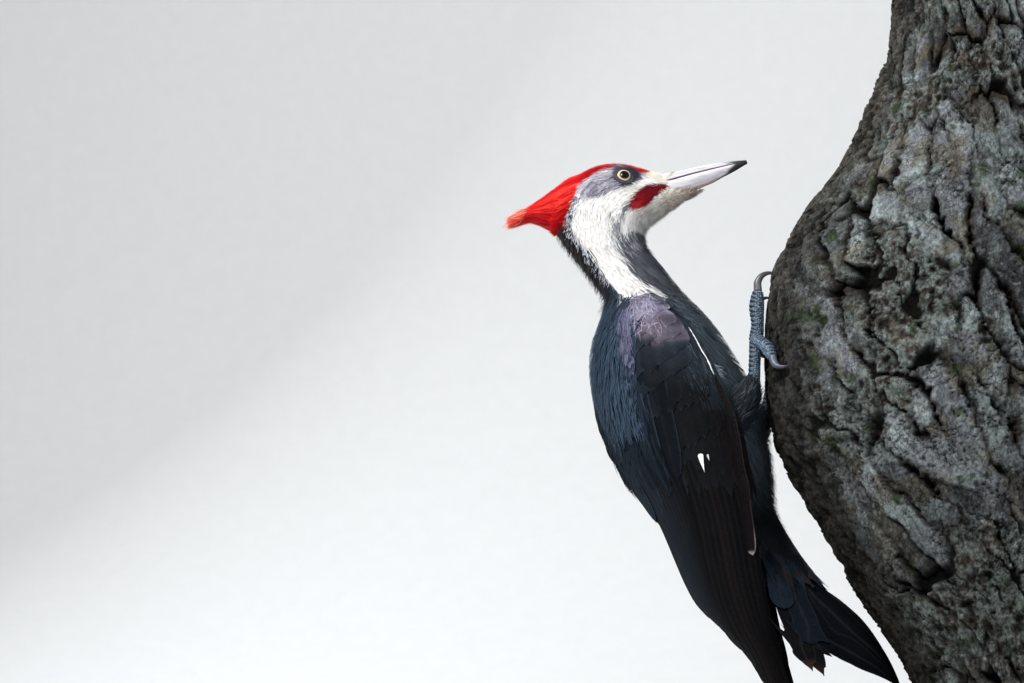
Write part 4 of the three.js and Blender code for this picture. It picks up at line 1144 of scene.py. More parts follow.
def detail_material(name, rough, spec, scale, strength, bump, coat_w=0.0, coat_rough=0.2):
    """Vertex colour with fine mottling and bump in the object's own space."""
    mat, nt, b = material(name, rough, spec, coat_w=coat_w, coat_rough=coat_rough)
    vc = node(nt, "ShaderNodeVertexColor", layer_name="col")
    tc = node(nt, "ShaderNodeTexCoord")
    nz = node(nt, "ShaderNodeTexNoise", in_Scale=scale, in_Detail=5.0)
    link(nt, tc.outputs["Object"], nz.inputs["Vector"])
    mr = node(nt, "ShaderNodeMapRange")
    mr.inputs["From Min"].default_value, mr.inputs["From Max"].default_value = 0.3, 0.7
    mr.inputs["To Min"].default_value, mr.inputs["To Max"].default_value = 1 - strength, 1 + strength
    link(nt, nz.outputs["Fac"], mr.inputs["Value"])
    sc = node(nt, "ShaderNodeVectorMath", operation="SCALE")
    link(nt, vc.outputs["Color"], sc.inputs[0])
    link(nt, mr.outputs["Result"], sc.inputs["Scale"])
    link(nt, sc.outputs["Vector"], b.inputs["Base Color"])
    bp = node(nt, "ShaderNodeBump", in_Strength=0.5)
    bp.inputs["Distance"].default_value = bump
    link(nt, nz.outputs["Fac"], bp.inputs["Height"])
    link(nt, bp.outputs["Normal"], b.inputs["Normal"])
    return mat


LEG = detail_material("scaly_skin", 0.5, 0.45, 1600.0, 0.18, 0.0002)
CLAW = detail_material("claw_horn", 0.36, 0.4, 700.0, 0.15, 0.0001, coat_w=0.2)
for s, name in ((-1, "right"), (1, "left")):
    to = (lambda p: p) if s < 0 else far_foot
    limbs = [("tarsus", [to(p) for p in TARSUS])] + [(k, [to(p) for p in v]) for k, v in TOES.items()]
    made = [(r_, c_ * np.array([0.62, 0.74, 0.80])) for r_, c_ in (scaled_limb(p, k, i)[:2] for i, (k, p) in enumerate(limbs))]
    join("foot_" + name, made, LEG, ["leg_" + name])
    for k, pts in CLAWS.items():
        pts = [to(p) for p in pts]
        rings, arc = tube(pts, 20, 46, shape=lambda s_, a_: 1 - 0.12 * np.exp(-((np.sin(a_) ** 2) / 0.05)) * (1 - s_) - 0.15 * smooth(0.8, 1.0, s_))
        s_ = np.linspace(0, 1, 46)[:, None] * np.ones(20)
        col = mix(rgb(104, 104, 110), rgb(58, 55, 58), smooth(0.05, 0.75, s_)) if k != "outer" else mix(rgb(92, 100, 118), rgb(46, 36, 54), smooth(0.2, 0.75, s_))
        col = lay(col, rgb(46, 42, 44), 0.5 * smooth(0.52, 0.66, noise(rings, 2.2, 4)))
        join(f"claw_horn_{name}_{k}", [(rings, col)], CLAW, [f"claw_{name}_{k}"])


# ------------------------------------------------------------------ coat: head and neck
HAIR = feather_material("fine_feathers", rough=0.7, spec=0.12, sheen=0.04, streak=0.16, barb=40.0, bump=0.12)
VANE = feather_material("body_feathers", rough=0.6, spec=0.06, sheen=0.04, sheen_tint=(0.6, 0.75, 1.0), streak=0.3, barb=30.0, bump=0.25)
QUILL = feather_material("flight_feathers", rough=0.55, spec=0.03, sheen=0.0, sheen_tint=(0.6, 0.75, 1.0), streak=0.3, barb=22.0, bump=0.3)


def streaks(a, b, da, db, seed):
    """Tone 0..1 shared by neighbouring tufts, drawn out along the lie of the coat."""
    return noise(np.stack([a / da, b / db, 0 * a + 3.1], -1), 1.0, seed)


def tufts(n, t0, t1, length, width, cols=3, rows=4, weight=None, drop=0.0, spread=0.25, rise=(0.15, 0.25), fray=0.0, form="hair", keep=None, jt=0.1, ja=2.0, tint=0.10, root=0.85, forward=False, camber=0.1, tipw=0.12, lie=0.0, at=0.55):
    """Tufts over loops t0..t1 of the body, in its own markings. length and width are functions of t."""
    a, b = scatter(body_at, n, t0 / 25, t1 / 25, -0.5, 0.5, weight)
    if keep is not None:
        k = keep(a * 25, b * 2 * math.pi, body_at(a, b, 0 * a))
        a, b = a[k], b[k]
    n = len(a)
    t, phi = a * 25, b * 2 * math.pi
    L, W = length(t) * R(0.75, 1.2, n), width(t) * R(0.8, 1.2, n)
    turn = rng.normal(0, spread, n) + (math.pi if forward else 0)
    turn = turn + np.sign(phi) * drop + (fbm(body(t, phi), 9, 2, 77) - 0.5) * lie
    e, z_ = 2e-3, 0 * a
    la = np.linalg.norm(body_at(a + e, b, z_) - body_at(a - e, b, z_), axis=-1) / (2 * e)
    lb = np.linalg.norm(body_at(a, b + e, z_) - body_at(a, b - e, z_), axis=-1) / (2 * e)
    # tufts in front of an eye stop short of its lids
    near = np.flatnonzero(np.abs(t - LID_LOOP) < 2.5)
    for _ in range(4):
        end = body_at(a[near] + L[near] * np.cos(turn[near]) / la[near], b[near] + L[near] * np.sin(turn[near]) / lb[near], z_[near])
        L[near] = np.where(near_eye(end) < 1.12, L[near] * 0.72, L[near])
    f = feathers(body_at, a, b, L, W, turn, -depth(t) * root, R(rise[0], rise[1], n), rows, cols, form, fray=fray, camber=camber, tipw=tipw)
    # a tuft takes the colour of the place that its middle covers
    tm, pm = (a + at * L * np.cos(turn) / la) * 25, (b + at * L * np.sin(turn) / lb) * 2 * math.pi
    tm = np.clip(tm, 0, 25)
    col = plumage(tm, pm, body(tm, pm), rng.normal(0, jt, n), rng.normal(0, ja, n))
    s_ = streaks(t, b, 0.9, 0.012, 5) - 0.5
    col = col * (1 + rng.normal(0, tint, n) + 0.25 * s_ * (col.max(-1) < 0.5))[:, None]
    f["col"] = np.clip(col[:, None, None, :] * (0.86 + 0.16 * f["s"])[..., None], 0, 1)
    f["t"], f["phi"], f["root"] = t, phi, body(t, phi)
    return f


def is_red(t, phi, P):
    c = plumage(t, phi, P)
    return (c[..., 0] > 0.3) & (c[..., 1] < 0.12)


clear_eye = lambda P, r: near_eye(P) > r
face_len = lambda t: np.interp(t, [0, 1, 3.5, 6, 8, 10], [2.8, 3.4, 3.8, 5.5, 7.5, 9.0])
face_wid = lambda t: np.interp(t, [0, 1, 3.5, 6, 8, 10], [0.2, 0.22, 0.24, 0.28, 0.34, 0.4])
f1 = tufts(18000, 0.0, 9.3, face_len, face_wid, keep=lambda t, p, P: clear_eye(P, 1.26) & ~is_red(t + 0.25, p, P), spread=0.16, rise=(-0.1, 0.3), drop=0.10, lie=0.5)
coat("coat_face", [f1], HAIR, keep=0.15)
f2 = tufts(13500, 0.6, 9.3, lambda t: 1.15 * face_len(t), lambda t: 1.15 * face_wid(t), weight=lambda A, B: (np.abs(B) < 0.2), keep=lambda t, p, P: clear_eye(P, 1.3) & is_red(t + 0.25, p, P), spread=0.12, rise=(-0.1, 0.35), tint=0.16, lie=0.3)
coat("coat_crown", [f2], HAIR, keep=0.3)
f3 = tufts(9000, 8.4, 14.4, lambda t: np.interp(t, [8, 14], [8, 12]), lambda t: np.interp(t, [8, 14], [0.42, 0.6]), rows=5, spread=0.14, rise=(-0.2, 0.4), jt=0.14, ja=3.0, lie=0.45, tint=0.07)
g3 = tufts(900, 8.7, 14.0, lambda t: 9 + 0 * t, lambda t: 0.55 + 0 * t, weight=lambda A, B: (np.abs(B) < 0.13), rows=5, spread=0.32, rise=(0.8, 3.6), jt=0.12, ja=2.6, tint=0.12)
g3["col"] = g3["col"] * 0 + mix(rgb(26, 27, 33), rgb(74, 62, 58), rng.random(g3["n"]) ** 1.6)[:, None, None, :] * (0.7 + 0.5 * g3["s"])[..., None]


def off_line(line, lo, hi):
    return lambda t, p, P: (np.degrees(np.abs(p)) - curve(line, t) > lo) & (np.degrees(np.abs(p)) - curve(line, t) < hi)


# long spikes of white and black that cross behind the face and down the neck
h3 = tufts(8000, 7.0, 12.8, lambda t: np.interp(t, [7, 12.8], [5.5, 9.5]), lambda t: 0.36 + 0 * t, keep=off_line(WHITE_TOP, -7, 5), rows=5, spread=0.25, rise=(0.3, 1.1), drop=-0.4)
h3["col"] = h3["col"] * 0 + np.where((rng.random(h3["n"]) < 0.58)[:, None], mix(rgb(240, 244, 250), rgb(168, 176, 196), rng.random(h3["n"]) ** 2), mix(rgb(24, 26, 33), rgb(70, 74, 88), rng.random(h3["n"])))[:, None, None, :] * (0.8 + 0.25 * h3["s"])[..., None]
i3 = tufts(7000, 5.4, 9.6, lambda t: np.interp(t, [5, 10], [5.5, 8.0]), lambda t: 0.34 + 0 * t, keep=off_line(WHITE_FRONT, -9, 16), rows=5, spread=0.4, rise=(0.2, 1.0), drop=0.1)
i3["col"] = i3["col"] * 0 + np.where((rng.random(i3["n"]) < 0.5)[:, None], mix(rgb(238, 239, 242), rgb(150, 152, 166), rng.random(i3["n"]) ** 1.3), mix(rgb(52, 54, 64), rgb(104, 106, 120), rng.random(i3["n"])))[:, None, None, :] * (0.8 + 0.25 * i3["s"])[..., None]
coat("coat_neck", [f3, g3, h3, i3], HAIR, keep=0.22)

# ------------------------------------------------------------------ coat: trunk
vis = lambda t, p, P: ~under_wing(P)
f4 = tufts(11500, 13.2, 19.8, lambda t: np.interp(t, [13, 20], [9, 12]), lambda t: np.interp(t, [13, 20], [0.55, 0.75]), cols=3, rows=5, keep=vis, spread=0.12, rise=(-0.1, 0.35), tint=0.06, lie=0.5)
coat("coat_breast", [f4], VANE, keep=0.2)
f5 = tufts(8500, 19.0, 25, lambda t: np.interp(t, [19, 25], [12, 15]), lambda t: np.interp(t, [19, 25], [0.8, 1.1]), cols=3, rows=5, keep=vis, spread=0.25, rise=(-0.1, 1.2), tint=0.12, lie=1.0)
# loose belly feathers that stand out to the wood, between the legs
g5 = tufts(1500, 17.4, 22.5, lambda t: 13 + 0 * t, lambda t: 0.7 + 0 * t, weight=lambda A, B: (np.abs(B) > 0.36), cols=3, rows=6, spread=0.28, rise=(0.6, 3.0), tint=0.15, lie=0.8)
coat("coat_belly", [f5, g5], VANE, keep=0.25)
parts = []
for s in (-1, 1):
    at = lift(thigh_surface[s], 1.0)
    for n, lo_, hi_, w_ in ((2100, 0.2, 1.4, 1.0), (420, 2.0, 5.5, 0.8)):
        a, b = scatter(at, n, 0.05, 0.985 if lo_ < 1 else 0.85, 0, 1)
        f = feathers(at, a, b, np.interp(a, [0, 0.8, 1], [11, 8, 4.0]) * R(0.8, 1.2, n), w_ * np.interp(a, [0, 1], [0.7, 0.36]), rng.normal(0, 0.25, n), np.interp(a, [0, 1], [-2.0, -0.4]), R(lo_, hi_, n) * np.interp(a, [0, 0.8, 1], [1, 0.8, 0.3]), 5, 3, "hair", tipw=0.12)
        c = mix(rgb(44, 50, 58), rgb(22, 25, 29), R(0, 1, n))
        c = lay(c, rgb(84, 92, 98), (R(0, 1, n) > 0.9) * 0.8)
        f["col"] = c[:, None, None, :] * (0.8 + 0.3 * f["s"])[..., None]
        parts.append(f)
coat("coat_thighs", parts, HAIR, keep=0.3)

# ------------------------------------------------------------------ crest
a, b = scatter(crest_at, 5200, 0.0, 0.82, -math.pi, math.pi)
n = len(a)
core = R(0.0, 1.0, n) ** 0.5
L = np.interp(a, [0, 0.5, 0.8], [17, 15, 9]) * R(0.7, 1.15, n)
lowside = smooth(1.7, 2.9, np.abs(b))
f = feathers(crest_at, a, b, L, R(0.35, 0.62, n), rng.normal(0, 0.10 + 0.08 * lowside, n), -3.2 * (1 - core) - 0.8, -2.2 * (1 - core) + R(-0.2, 0.5, n) + lowside * R(0, 1.3, n), 7, 3, "hair", tipw=0.1)
# low marks the crest's lower sides, which get painted shade: a darker red there
low = smooth(1.2, 2.6, np.abs(b))
st = streaks(a, b, 0.5, 0.12, 9)
c = mix(rgb(226, 18, 24), rgb(172, 4, 16), np.clip(low * 0.6 + 0.8 * (0.5 - st), 0, 1))
# painted highlight: bright orange-red streaks, fewer on the lower sides
c = lay(c, rgb(248, 84, 66), smooth(0.42, 0.8, st) * R(0.2, 1.0, n) * (1 - 0.5 * low))
c = c * (1 + rng.normal(0, 0.12, n))[:, None]
tip = smooth(0.68, 1.0, a[:, None, None] + f["s"] * (L / 60)[:, None, None])
f["col"] = np.clip(lay(c[:, None, None, :] * np.ones_like(f["P"]), rgb(242, 140, 112), (0.75 * (rng.random(n) > 0.6) * rng.random(n) + 0.1)[:, None, None] * tip) * (0.72 + 0.36 * f["s"])[..., None], 0, 1)
f["uv"] = (np.stack([0.02 + 0.96 * (b / (2 * math.pi) + 0.5), 0.02 + 0.9 * a], -1)[:, None, None, :] + 0.003 * np.stack([0.5 * f["c"], f["s"] - 0.5], -1))
# a few separate strands at the tip
n = 260
a, b = R(0.62, 0.88, n), R(-math.pi, math.pi, n)
g = feathers(crest_at, a, b, R(6, 11, n), R(0.25, 0.5, n), rng.normal(0, 0.28, n), -0.8, R(-0.5, 2.2, n), 6, 3, "hair", tipw=0.1, kink=R(-0.25, 0.25, n))
g["col"] = np.clip(mix(rgb(226, 34, 30), rgb(248, 172, 146), rng.random(n) ** 1.8)[:, None, None, :] * (0.7 + 0.4 * g["s"])[..., None], 0, 1)
g["uv"] = (np.stack([0.02 + 0.96 * (b / (2 * math.pi) + 0.5), 0.02 + 0.9 * a], -1)[:, None, None, :] + 0.003 * np.stack([0.5 * g["c"], g["s"] - 0.5], -1))
coat("coat_crest", [f, g], HAIR, ["crest"], keep=0.4)

# ------------------------------------------------------------------ forehead, nose and chin bristles
f = tufts(3000, -0.1, 1.6, lambda t: np.interp(t, [-0.1, 1.6], [4.6, 5.6]), lambda t: 0.24 + 0 * t, weight=lambda A, B: (np.abs(B) < np.interp(A * 25, [-0.1, 0.2, 0.45, 0.8, 1.6], [0.13, 0.17, 0.205, 0.225, 0.20])), spread=0.12, rise=(-0.2, 0.6), forward=True, rows=5, tint=0.0)
f["col"] = (mix(rgb(250, 246, 234), rgb(222, 212, 196), rng.random(f["n"]))[:, None, None, :] * (0.82 + 0.22 * f["s"])[..., None])
g = tufts(2600, -0.85, 1.4, lambda t: 3.4 + 0 * t, lambda t: 0.24 + 0 * t, weight=lambda A, B: (np.abs(B) > np.interp(A * 25, [-0.85, -0.6, -0.3, 0.0, 1.4], [0.49, 0.42, 0.36, 0.335, 0.34])), spread=0.45, rise=(0.0, 1.5), forward=True, rows=5)
k = rng.random(g["n"])
dirt = np.interp(g["t"], [-1.1, 0.6], [0.8, 0.25])
c = lay(mix(rgb(232, 226, 216), rgb(202, 190, 176), k), mix(rgb(156, 128, 108), rgb(92, 78, 70), rng.random(g["n"])), (rng.random(g["n"]) < dirt) * 0.85)
g["col"] = c[:, None, None, :] * (0.85 + 0.2 * g["s"])[..., None]


def bill_skin(a, b, h):
    """The upper half of the bill, a along it, b round it from the ridge to the right, raised by h."""
    rows = np.array(BILL_LOOPS)
    ax = np.array([BILL_TIP[0] - BILL_BASE[0], 0, BILL_TIP[1] - BILL_BASE[1]])
    length = np.linalg.norm(ax)
    d = ax / length
    nn = np.array([-d[2], 0, d[0]])
    roll = math.radians(HEAD_ROLL)
    up = nn * math.cos(roll) + np.array([0, math.sin(roll), 0])
    out = np.array([0, math.cos(roll), 0]) - nn * math.sin(roll)
    hi, wi = np.interp(a, rows[:, 0], rows[:, 1]), np.interp(a, rows[:, 0], rows[:, 3])
    base = np.array([BILL_BASE[0], 0, BILL_BASE[1]])
    P = base + d * (a * length)[..., None] + nn * (BILL_CAMBER * np.sin(math.pi * np.clip(a, 0, 1)))[..., None]
    return P + up * (np.cos(b * 2 * math.pi) * (hi + h))[..., None] + out * (-np.sin(b * 2 * math.pi) * (wi + h))[..., None]


n = 1300
b = R(-0.22, 0.22, n)
a = np.interp(np.abs(b), [0, 0.12, 0.22], [0.17, 0.15, 0.06]) * R(0.25, 1, n)
k = feathers(bill_skin, a, b, R(4.5, 7.5, n), R(0.2, 0.32, n), rng.normal(0, 0.08, n), 0.45, R(0.1, 0.4, n), 6, 3, "hair", uvmap=lambda a, b: body_uv(0.002 + 0.05 * (0.3 - a), -b))
k["col"] = (mix(rgb(246, 242, 228), rgb(208, 200, 188), rng.random(n))[:, None, None, :] * (0.84 + 0.2 * k["s"])[..., None])
q = tufts(1100, 0.6, 7.6, lambda t: np.interp(t, [0.6, 7.6], [3.6, 6.5]), lambda t: 0.26 + 0 * t, weight=lambda A, B: (np.abs(B) > 0.41), rows=5, spread=0.35, rise=(0.3, 1.7), tint=0.09)
coat("coat_bristles", [f, g, k, q], HAIR, keep=0.3)


# ------------------------------------------------------------------ wings
def thin(a):
    return 1 - 0.55 * smooth(0.5, 1, a)


def shaft_grid(line, surf_uv, surf, outer, inner, rows, cols, taper, root=None):
    """Rows x cols places (a, b) and mm across for a feather whose shaft runs down line on surf_uv(a, b).
    The outer vane lies towards lower b."""
    s = np.linspace(0, 1, rows)
    c = np.linspace(-1, 1, cols)
    line = np.array(line, float)
    k = np.linspace(0, len(line) - 1, rows)
    ab = spline(line, k)
    ds = spline(line, k + 0.02) - spline(line, k - 0.02)
    e = 2e-3
    a, b = ab[:, 0], ab[:, 1]
    wa = (surf_uv(a + e, b) - surf_uv(a - e, b)) / (2 * e)
    wb = (surf_uv(a, b + e) - surf_uv(a, b - e)) / (2 * e)
    nw = unit(np.cross(wa, wb))
    along = unit(wa * ds[:, :1] + wb * ds[:, 1:])
    across = unit(np.cross(nw, along))
    across = across * np.sign((across * wb).sum(-1, keepdims=True))
    G11, G12, G22 = (wa * wa).sum(-1), (wa * wb).sum(-1), (wb * wb).sum(-1)
    det = G11 * G22 - G12**2
    p1, p2 = (across * wa).sum(-1), (across * wb).sum(-1)
    ua, ub = (G22 * p1 - G12 * p2) / det, (G11 * p2 - G12 * p1) / det
    rt = np.minimum(1, 0.45 + s / 0.18) if root is None else root(s)
    wo, wi = outer * rt * np.maximum(taper(s), 0.03), inner * rt * np.maximum(taper(s), 0.03)
    mm = np.where(c[None] < 0, c[None] * wo[:, None], c[None] * wi[:, None])
    return s[:, None] * np.ones((rows, cols)), c[None] * np.ones((rows, cols)), a[:, None] + ua[:, None] * mm, b[:, None] + ub[:, None] * mm, mm


def round_tip(blunt):
    return lambda s: np.sqrt(np.clip(1 - np.clip((s - blunt) / (1 - blunt), 0, 1) ** 2.2, 0, 1))


def point_tip(blunt, power=1.6):
    return lambda s: 1 - np.clip((s - blunt) / (1 - blunt), 0, 1) ** power


def quill(side, pts, outer, inner, order, rows=44, cols=11, form="round", blunt=0.8, edge=None, edge_w=0.16, dark=None, lift_=0.0, seed=0.0, rim=None, edge_k=0.8):
    """One flight feather on a wing, order 0..1 its height in the stack."""
    S, c, A, B, mm = shaft_grid(pts, lambda a, b: wing(a, b, side), None, outer, inner, rows, cols, round_tip(blunt) if form == "round" else point_tip(blunt))
    H = (0.25 + 2.2 * order) * thin(A) + lift_ + np.where(c < 0, 0.22 * np.abs(c) - 0.3 * c**4, -0.7 * np.abs(c) ** 1.5)
    H = H + 0.16 * np.exp(-((c / 0.09) ** 2)) * (1 - S)
    P = wing_at[side](A, B, H)
    N = unit(wing_at[side](A, B, H + 0.5) - P)
    col = np.ones((rows, cols, 3)) * (dark if dark is not None else rgb(24, 27, 32))
    col = col * (0.8 + 0.4 * noise(np.stack([A * 30, B * 22, 0 * A + seed], -1), 1.0, 2))[..., None]
    col = col * (1 - 0.35 * smooth(0.3, 1.0, c))[..., None]
    if edge is not None:
        m = smooth(1 - edge_w * 1.8, 1 - edge_w * 0.3, -c) * smooth(0.0, 0.3, S)
        col = lay(col, edge, m * edge_k)
    if rim is not None:
        col = lay(col, rim, np.maximum(smooth(0.95, 0.985, S), smooth(0.7, 0.9, -c) * smooth(0.72, 0.85, S)) * 0.9)
    col = lay(col, rgb(40, 39, 42), 0.22 * np.exp(-((c / 0.07) ** 2)) * (1 - 0.4 * S))
    length = np.concatenate([[0], np.cumsum(np.linalg.norm(np.diff(P[:, cols // 2], axis=0), axis=1))])
    vane = np.stack([mm / 10, (length[:, None] - 0.9 * np.abs(mm)) / 10], -1)
    return P, col, vane, N


def bundle(name, quills, mat, replaces=(), keep=0.45):
    """Flight feathers as one piece, each with its own strip of the bake map."""
    V, Qs, C, U, W, M, off = [], [], [], [], [], [], 0
    for i, (P, col, vane, N) in enumerate(quills):
        k, m, _ = P.shape
        V.append(P.reshape(-1, 3))
        M.append(soft_normals(P, N, keep).reshape(-1, 3))
        Qs.append(grid_faces(1, k, m) + off)
        C.append(np.concatenate([np.clip(col, 0, 1).reshape(-1, 3), np.full((k * m, 1), rng.random())], 1))
        W.append(vane.reshape(-1, 2))
        x0, w = (i + 0.08) / len(quills), 0.84 / len(quills)
        g = np.stack(np.meshgrid(np.linspace(0.01, 0.99, k), np.linspace(x0, x0 + w, m), indexing="ij"), -1)
        U.append(g[..., ::-1].reshape(-1, 2))
        off += k * m
    ob = mesh(name, np.vstack(V), np.vstack(Qs), None, np.vstack(C), np.vstack(U), np.vstack(W), normals=np.vstack(M))
    ob.data.materials.append(mat)
    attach(ob, "root")
    if replaces:
        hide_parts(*replaces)
    print(name, 2 * sum(len(q) for q in Qs))
    return ob


BROWN = rgb(44, 38, 38)
for side, name in ((-1, "right"), (1, "left")):
    rs = np.random.default_rng(31 if side < 0 else 47)
    J = lambda k: rs.uniform(-k, k)
    q = []
    # primaries, leading edge first and lowest
    tips = [(0.905, 0.14), (0.965, 0.24), (0.998, 0.36), (1.0, 0.47), (0.985, 0.57), (0.96, 0.66), (0.93, 0.76), (0.9, 0.85), (0.865, 0.92)]
    for i, (ta, tb) in enumerate(tips):
        ra, rb = 0.36 + 0.008 * i, 0.06 + 0.05 * i
        mid = [(ra + (ta - ra) * 0.33, rb + (tb - rb) * 0.2), (ra + (ta - ra) * 0.66, rb + (tb - rb) * 0.5)]
        q.append(quill(side, [(ra, rb)] + mid + [(ta, tb)], 3.2 - 0.1 * i, 8.5, 0.02 + 0.035 * i, blunt=0.86, edge=mix(rgb(14, 15, 18), rgb(30, 25, 24), rs.random()), edge_w=0.14, edge_k=0.6, dark=mix(rgb(9, 10, 12), rgb(17, 14, 14), rs.random()), seed=i + 0.3))
    # the short outermost primary
    q.append(quill(side, [(0.30, 0.045), (0.45, 0.055), (0.56, 0.085), (0.643, 0.115)], 2.6, 3.6, 0.5, blunt=0.85, edge=rgb(58, 50, 50), edge_w=0.3, dark=rgb(20, 18, 19), seed=3.1, rim=rgb(150, 142, 138)))
    q.append(quill(side, [(0.22, 0.02), (0.34, 0.02), (0.44, 0.035), (0.52, 0.05)], 2.0, 3.2, 0.62, blunt=0.8, edge=rgb(58, 50, 50), edge_w=0.3, dark=rgb(24, 21, 22), seed=5.1))
    # secondaries, bluer towards the back: a painted sheen
    for i in range(9):
        f_ = i / 8
        ra, rb = 0.30 - 0.02 * f_, 0.46 + 0.36 * f_
        ta, tb = 0.835 - 0.075 * f_ + J(0.006), 0.86 + 0.13 * f_
        mid = [(ra + (ta - ra) * 0.33, rb + (tb - rb) * 0.3), (ra + (ta - ra) * 0.66, rb + (tb - rb) * 0.62)]
        q.append(quill(side, [(ra, rb)] + mid + [(ta, tb)], 3.2, 8.5, 0.36 + 0.26 * f_, blunt=0.88, edge=mix(rgb(24, 22, 24), rgb(44, 54, 66), f_), edge_w=0.10, dark=mix(rgb(10, 11, 13), rgb(20, 26, 34), f_), edge_k=0.6, seed=i + 11.7))
    # tertials, bluer towards the back: a painted sheen
    for i, (ta, tb) in enumerate([(0.452, 0.56), (0.49, 0.71), (0.522, 0.86), (0.54, 0.99)]):
        f_ = i / 3
        q.append(quill(side, [(0.18, tb - 0.10), ((0.18 + ta) / 2, tb - 0.05), (ta, tb)], 8.0, 8.0, 0.66 + 0.07 * f_, rows=30, blunt=0.62, edge=mix(rgb(36, 42, 52), rgb(56, 68, 84), f_), edge_w=0.07, dark=mix(rgb(14, 18, 23), rgb(24, 32, 42), f_), seed=i + 31.2))
    # white bases of the primaries that show below their coverts
    q.append(quill(side, [(0.402, 0.315), (0.420, 0.32), (0.446, 0.325)], 1.7, 1.6, 0.62, rows=16, cols=7, form="point", blunt=0.05, dark=rgb(240, 243, 246), lift_=0.35, seed=71))
    q.append(quill(side, [(0.405, 0.262), (0.412, 0.262), (0.421, 0.262)], 0.6, 0.6, 0.62, rows=12, cols=5, form="point", blunt=0.2, dark=rgb(220, 226, 232), lift_=0.35, seed=72))
    bundle("quills_" + name, q, QUILL, ["wing_" + name])

    # coverts as rows of rounded vanes
    at = wing_at[side]
    rows_ = []
    wing_uv = lambda a, b: np.stack([0.05 + 0.85 * np.clip(b, 0, 1.1), 0.05 + 0.9 * np.clip(a + 0.05, 0, 1)], -1)

    def row(n, a_of, b0, b1, length, width, h0, h1, col, form="vane", turn=0.0, blunt=0.55, edge=None, jitter=0.008, cols_=9, r=12, edge_k=0.3, into=rows_, tilt=0.3):
        f_ = (np.arange(n) + 0.5) / n
        b_ = b0 + (b1 - b0) * f_ + rs.uniform(-1, 1, n) * 0.2 / max(n, 1) * abs(b1 - b0)
        a_ = np.array([a_of(v) for v in f_]) + rs.uniform(-jitter, jitter, n)
        L_ = length * (1 + rs.uniform(-0.08, 0.08, n))
        f = feathers(at, a_, b_, L_, width * (1 + rs.uniform(-0.08, 0.08, n)), turn + rs.uniform(-0.05, 0.05, n), h0 * thin(a_), h1 * thin(a_) + rs.uniform(-0.05, 0.05, n), r, cols_, form, camber=0.02, blunt=blunt, uvmap=wing_uv, tilt=-tilt)
        # colour by where each point of the vane lies, so that broad tones run on over the rows
        pa, pb = a_[:, None, None] + f["s"] * (L_ / 170)[:, None, None], b_[:, None, None] + 0 * f["s"]
        c = col(pa, pb) * (1 + rs.normal(0, 0.06, n))[:, None, None, None]
        c = c * (0.9 + 0.14 * f["s"])[..., None]
        if edge is not None:
            # paler vane tips and edges: pale fringes with a painted highlight along them
            rim = np.maximum(smooth(0.92, 0.99, f["s"]), smooth(0.88, 1.0, np.abs(f["c"])) * smooth(0.3, 0.6, f["s"]))
            c = lay(c, np.minimum(2.1 * c + 0.004, edge), 2.0 * edge_k * rim)
        c = lay(c, c * 1.5, 0.5 * np.exp(-((f["c"] / 0.10) ** 2)) * smooth(0.1, 0.5, f["s"]))
        f["col"] = np.clip(c, 0, 1)
        into.append(f)
        return f

    def tone(a_, b_):
        """Bluish painted sheen over the back, near black in the middle, slate down the leading edge, faded by wear and
        a painted sheen on the shoulder.
        """
        # bluish painted sheen towards the back
        c = mix(rgb(13, 15, 18), rgb(34, 44, 56), smooth(0.42, 0.85, b_))
        c = lay(c, rgb(40, 48, 58), 0.6 * (1 - smooth(0.16, 0.30, a_)))
        c = lay(c, rgb(44, 52, 61), (1 - smooth(0.12, 0.26, b_)) * (1 - smooth(0.16, 0.32, a_)))
        c = lay(c, rgb(17, 14, 15), (1 - smooth(0.10, 0.2, b_)) * smooth(0.24, 0.34, a_))
        c = c * (0.8 + 0.4 * noise(np.stack([a_ * 30, b_ * 14, 0 * a_], -1), 1.0, 3))[..., None]
        n_ = noise(np.stack([a_ * 60, b_ * 24, 0 * a_], -1), 1.0, 7)
        # shoulder feathers faded by wear, their pale lilac partly a painted sheen
        wear_and_sheen = smooth(0.15, 0.24, b_ + 0.05 * (n_ - 0.5)) * (1 - smooth(0.56, 0.68, b_)) * (1 - smooth(0.125, 0.155, a_ - 0.03 * np.sin((b_ - 0.1) * 9)))
        w = mix(rgb(96, 92, 110), rgb(126, 122, 144), smooth(0.3, 0.8, n_))
        w = lay(w, rgb(86, 76, 86), 0.8 * smooth(0.05, 0.11, a_))
        return lay(c, w, 0.92 * wear_and_sheen)

    E1, E2 = rgb(50, 60, 72), rgb(146, 142, 162)
    # an under layer that leaves no gap
    for i in range(12):
        row(11, lambda v, i=i: 0.40 - 0.036 * i, 0.03, 1.0, 26, 7.0, 0.7, 1.0, tone, form="point", turn=0.06, blunt=0.35, edge=E1, edge_k=0.10, r=8, cols_=5, jitter=0.03 if i < 9 else 0.006, tilt=0.03)
    # greater coverts: over the primaries, then over the secondaries
    row(6, lambda v: 0.255 + 0.03 * v, 0.08, 0.46, 29, 6.6, 0.9, 1.3, tone, turn=0.08, blunt=0.5, edge=rgb(34, 33, 36), tilt=0.07)
    row(5, lambda v: 0.18 + 0.02 * v, 0.12, 0.42, 29, 7.4, 1.15, 1.5, tone, turn=0.06, edge=rgb(36, 38, 43), tilt=0.07)
    row(6, lambda v: 0.165 + 0.075 * v, 0.36, 0.92, 32, 10.8, 1.4, 1.8, tone, turn=0.10, edge=E1, tilt=0.09)
    # median coverts
    row(5, lambda v: 0.105 + 0.075 * v, 0.24, 0.90, 29, 10.8, 1.6, 1.98, tone, turn=0.08, edge=E1, tilt=0.09)
    row(6, lambda v: 0.07 + 0.055 * v, 0.18, 0.88, 26, 9.4, 1.75, 2.15, tone, turn=0.06, edge=E2, edge_k=0.18, tilt=0.09)
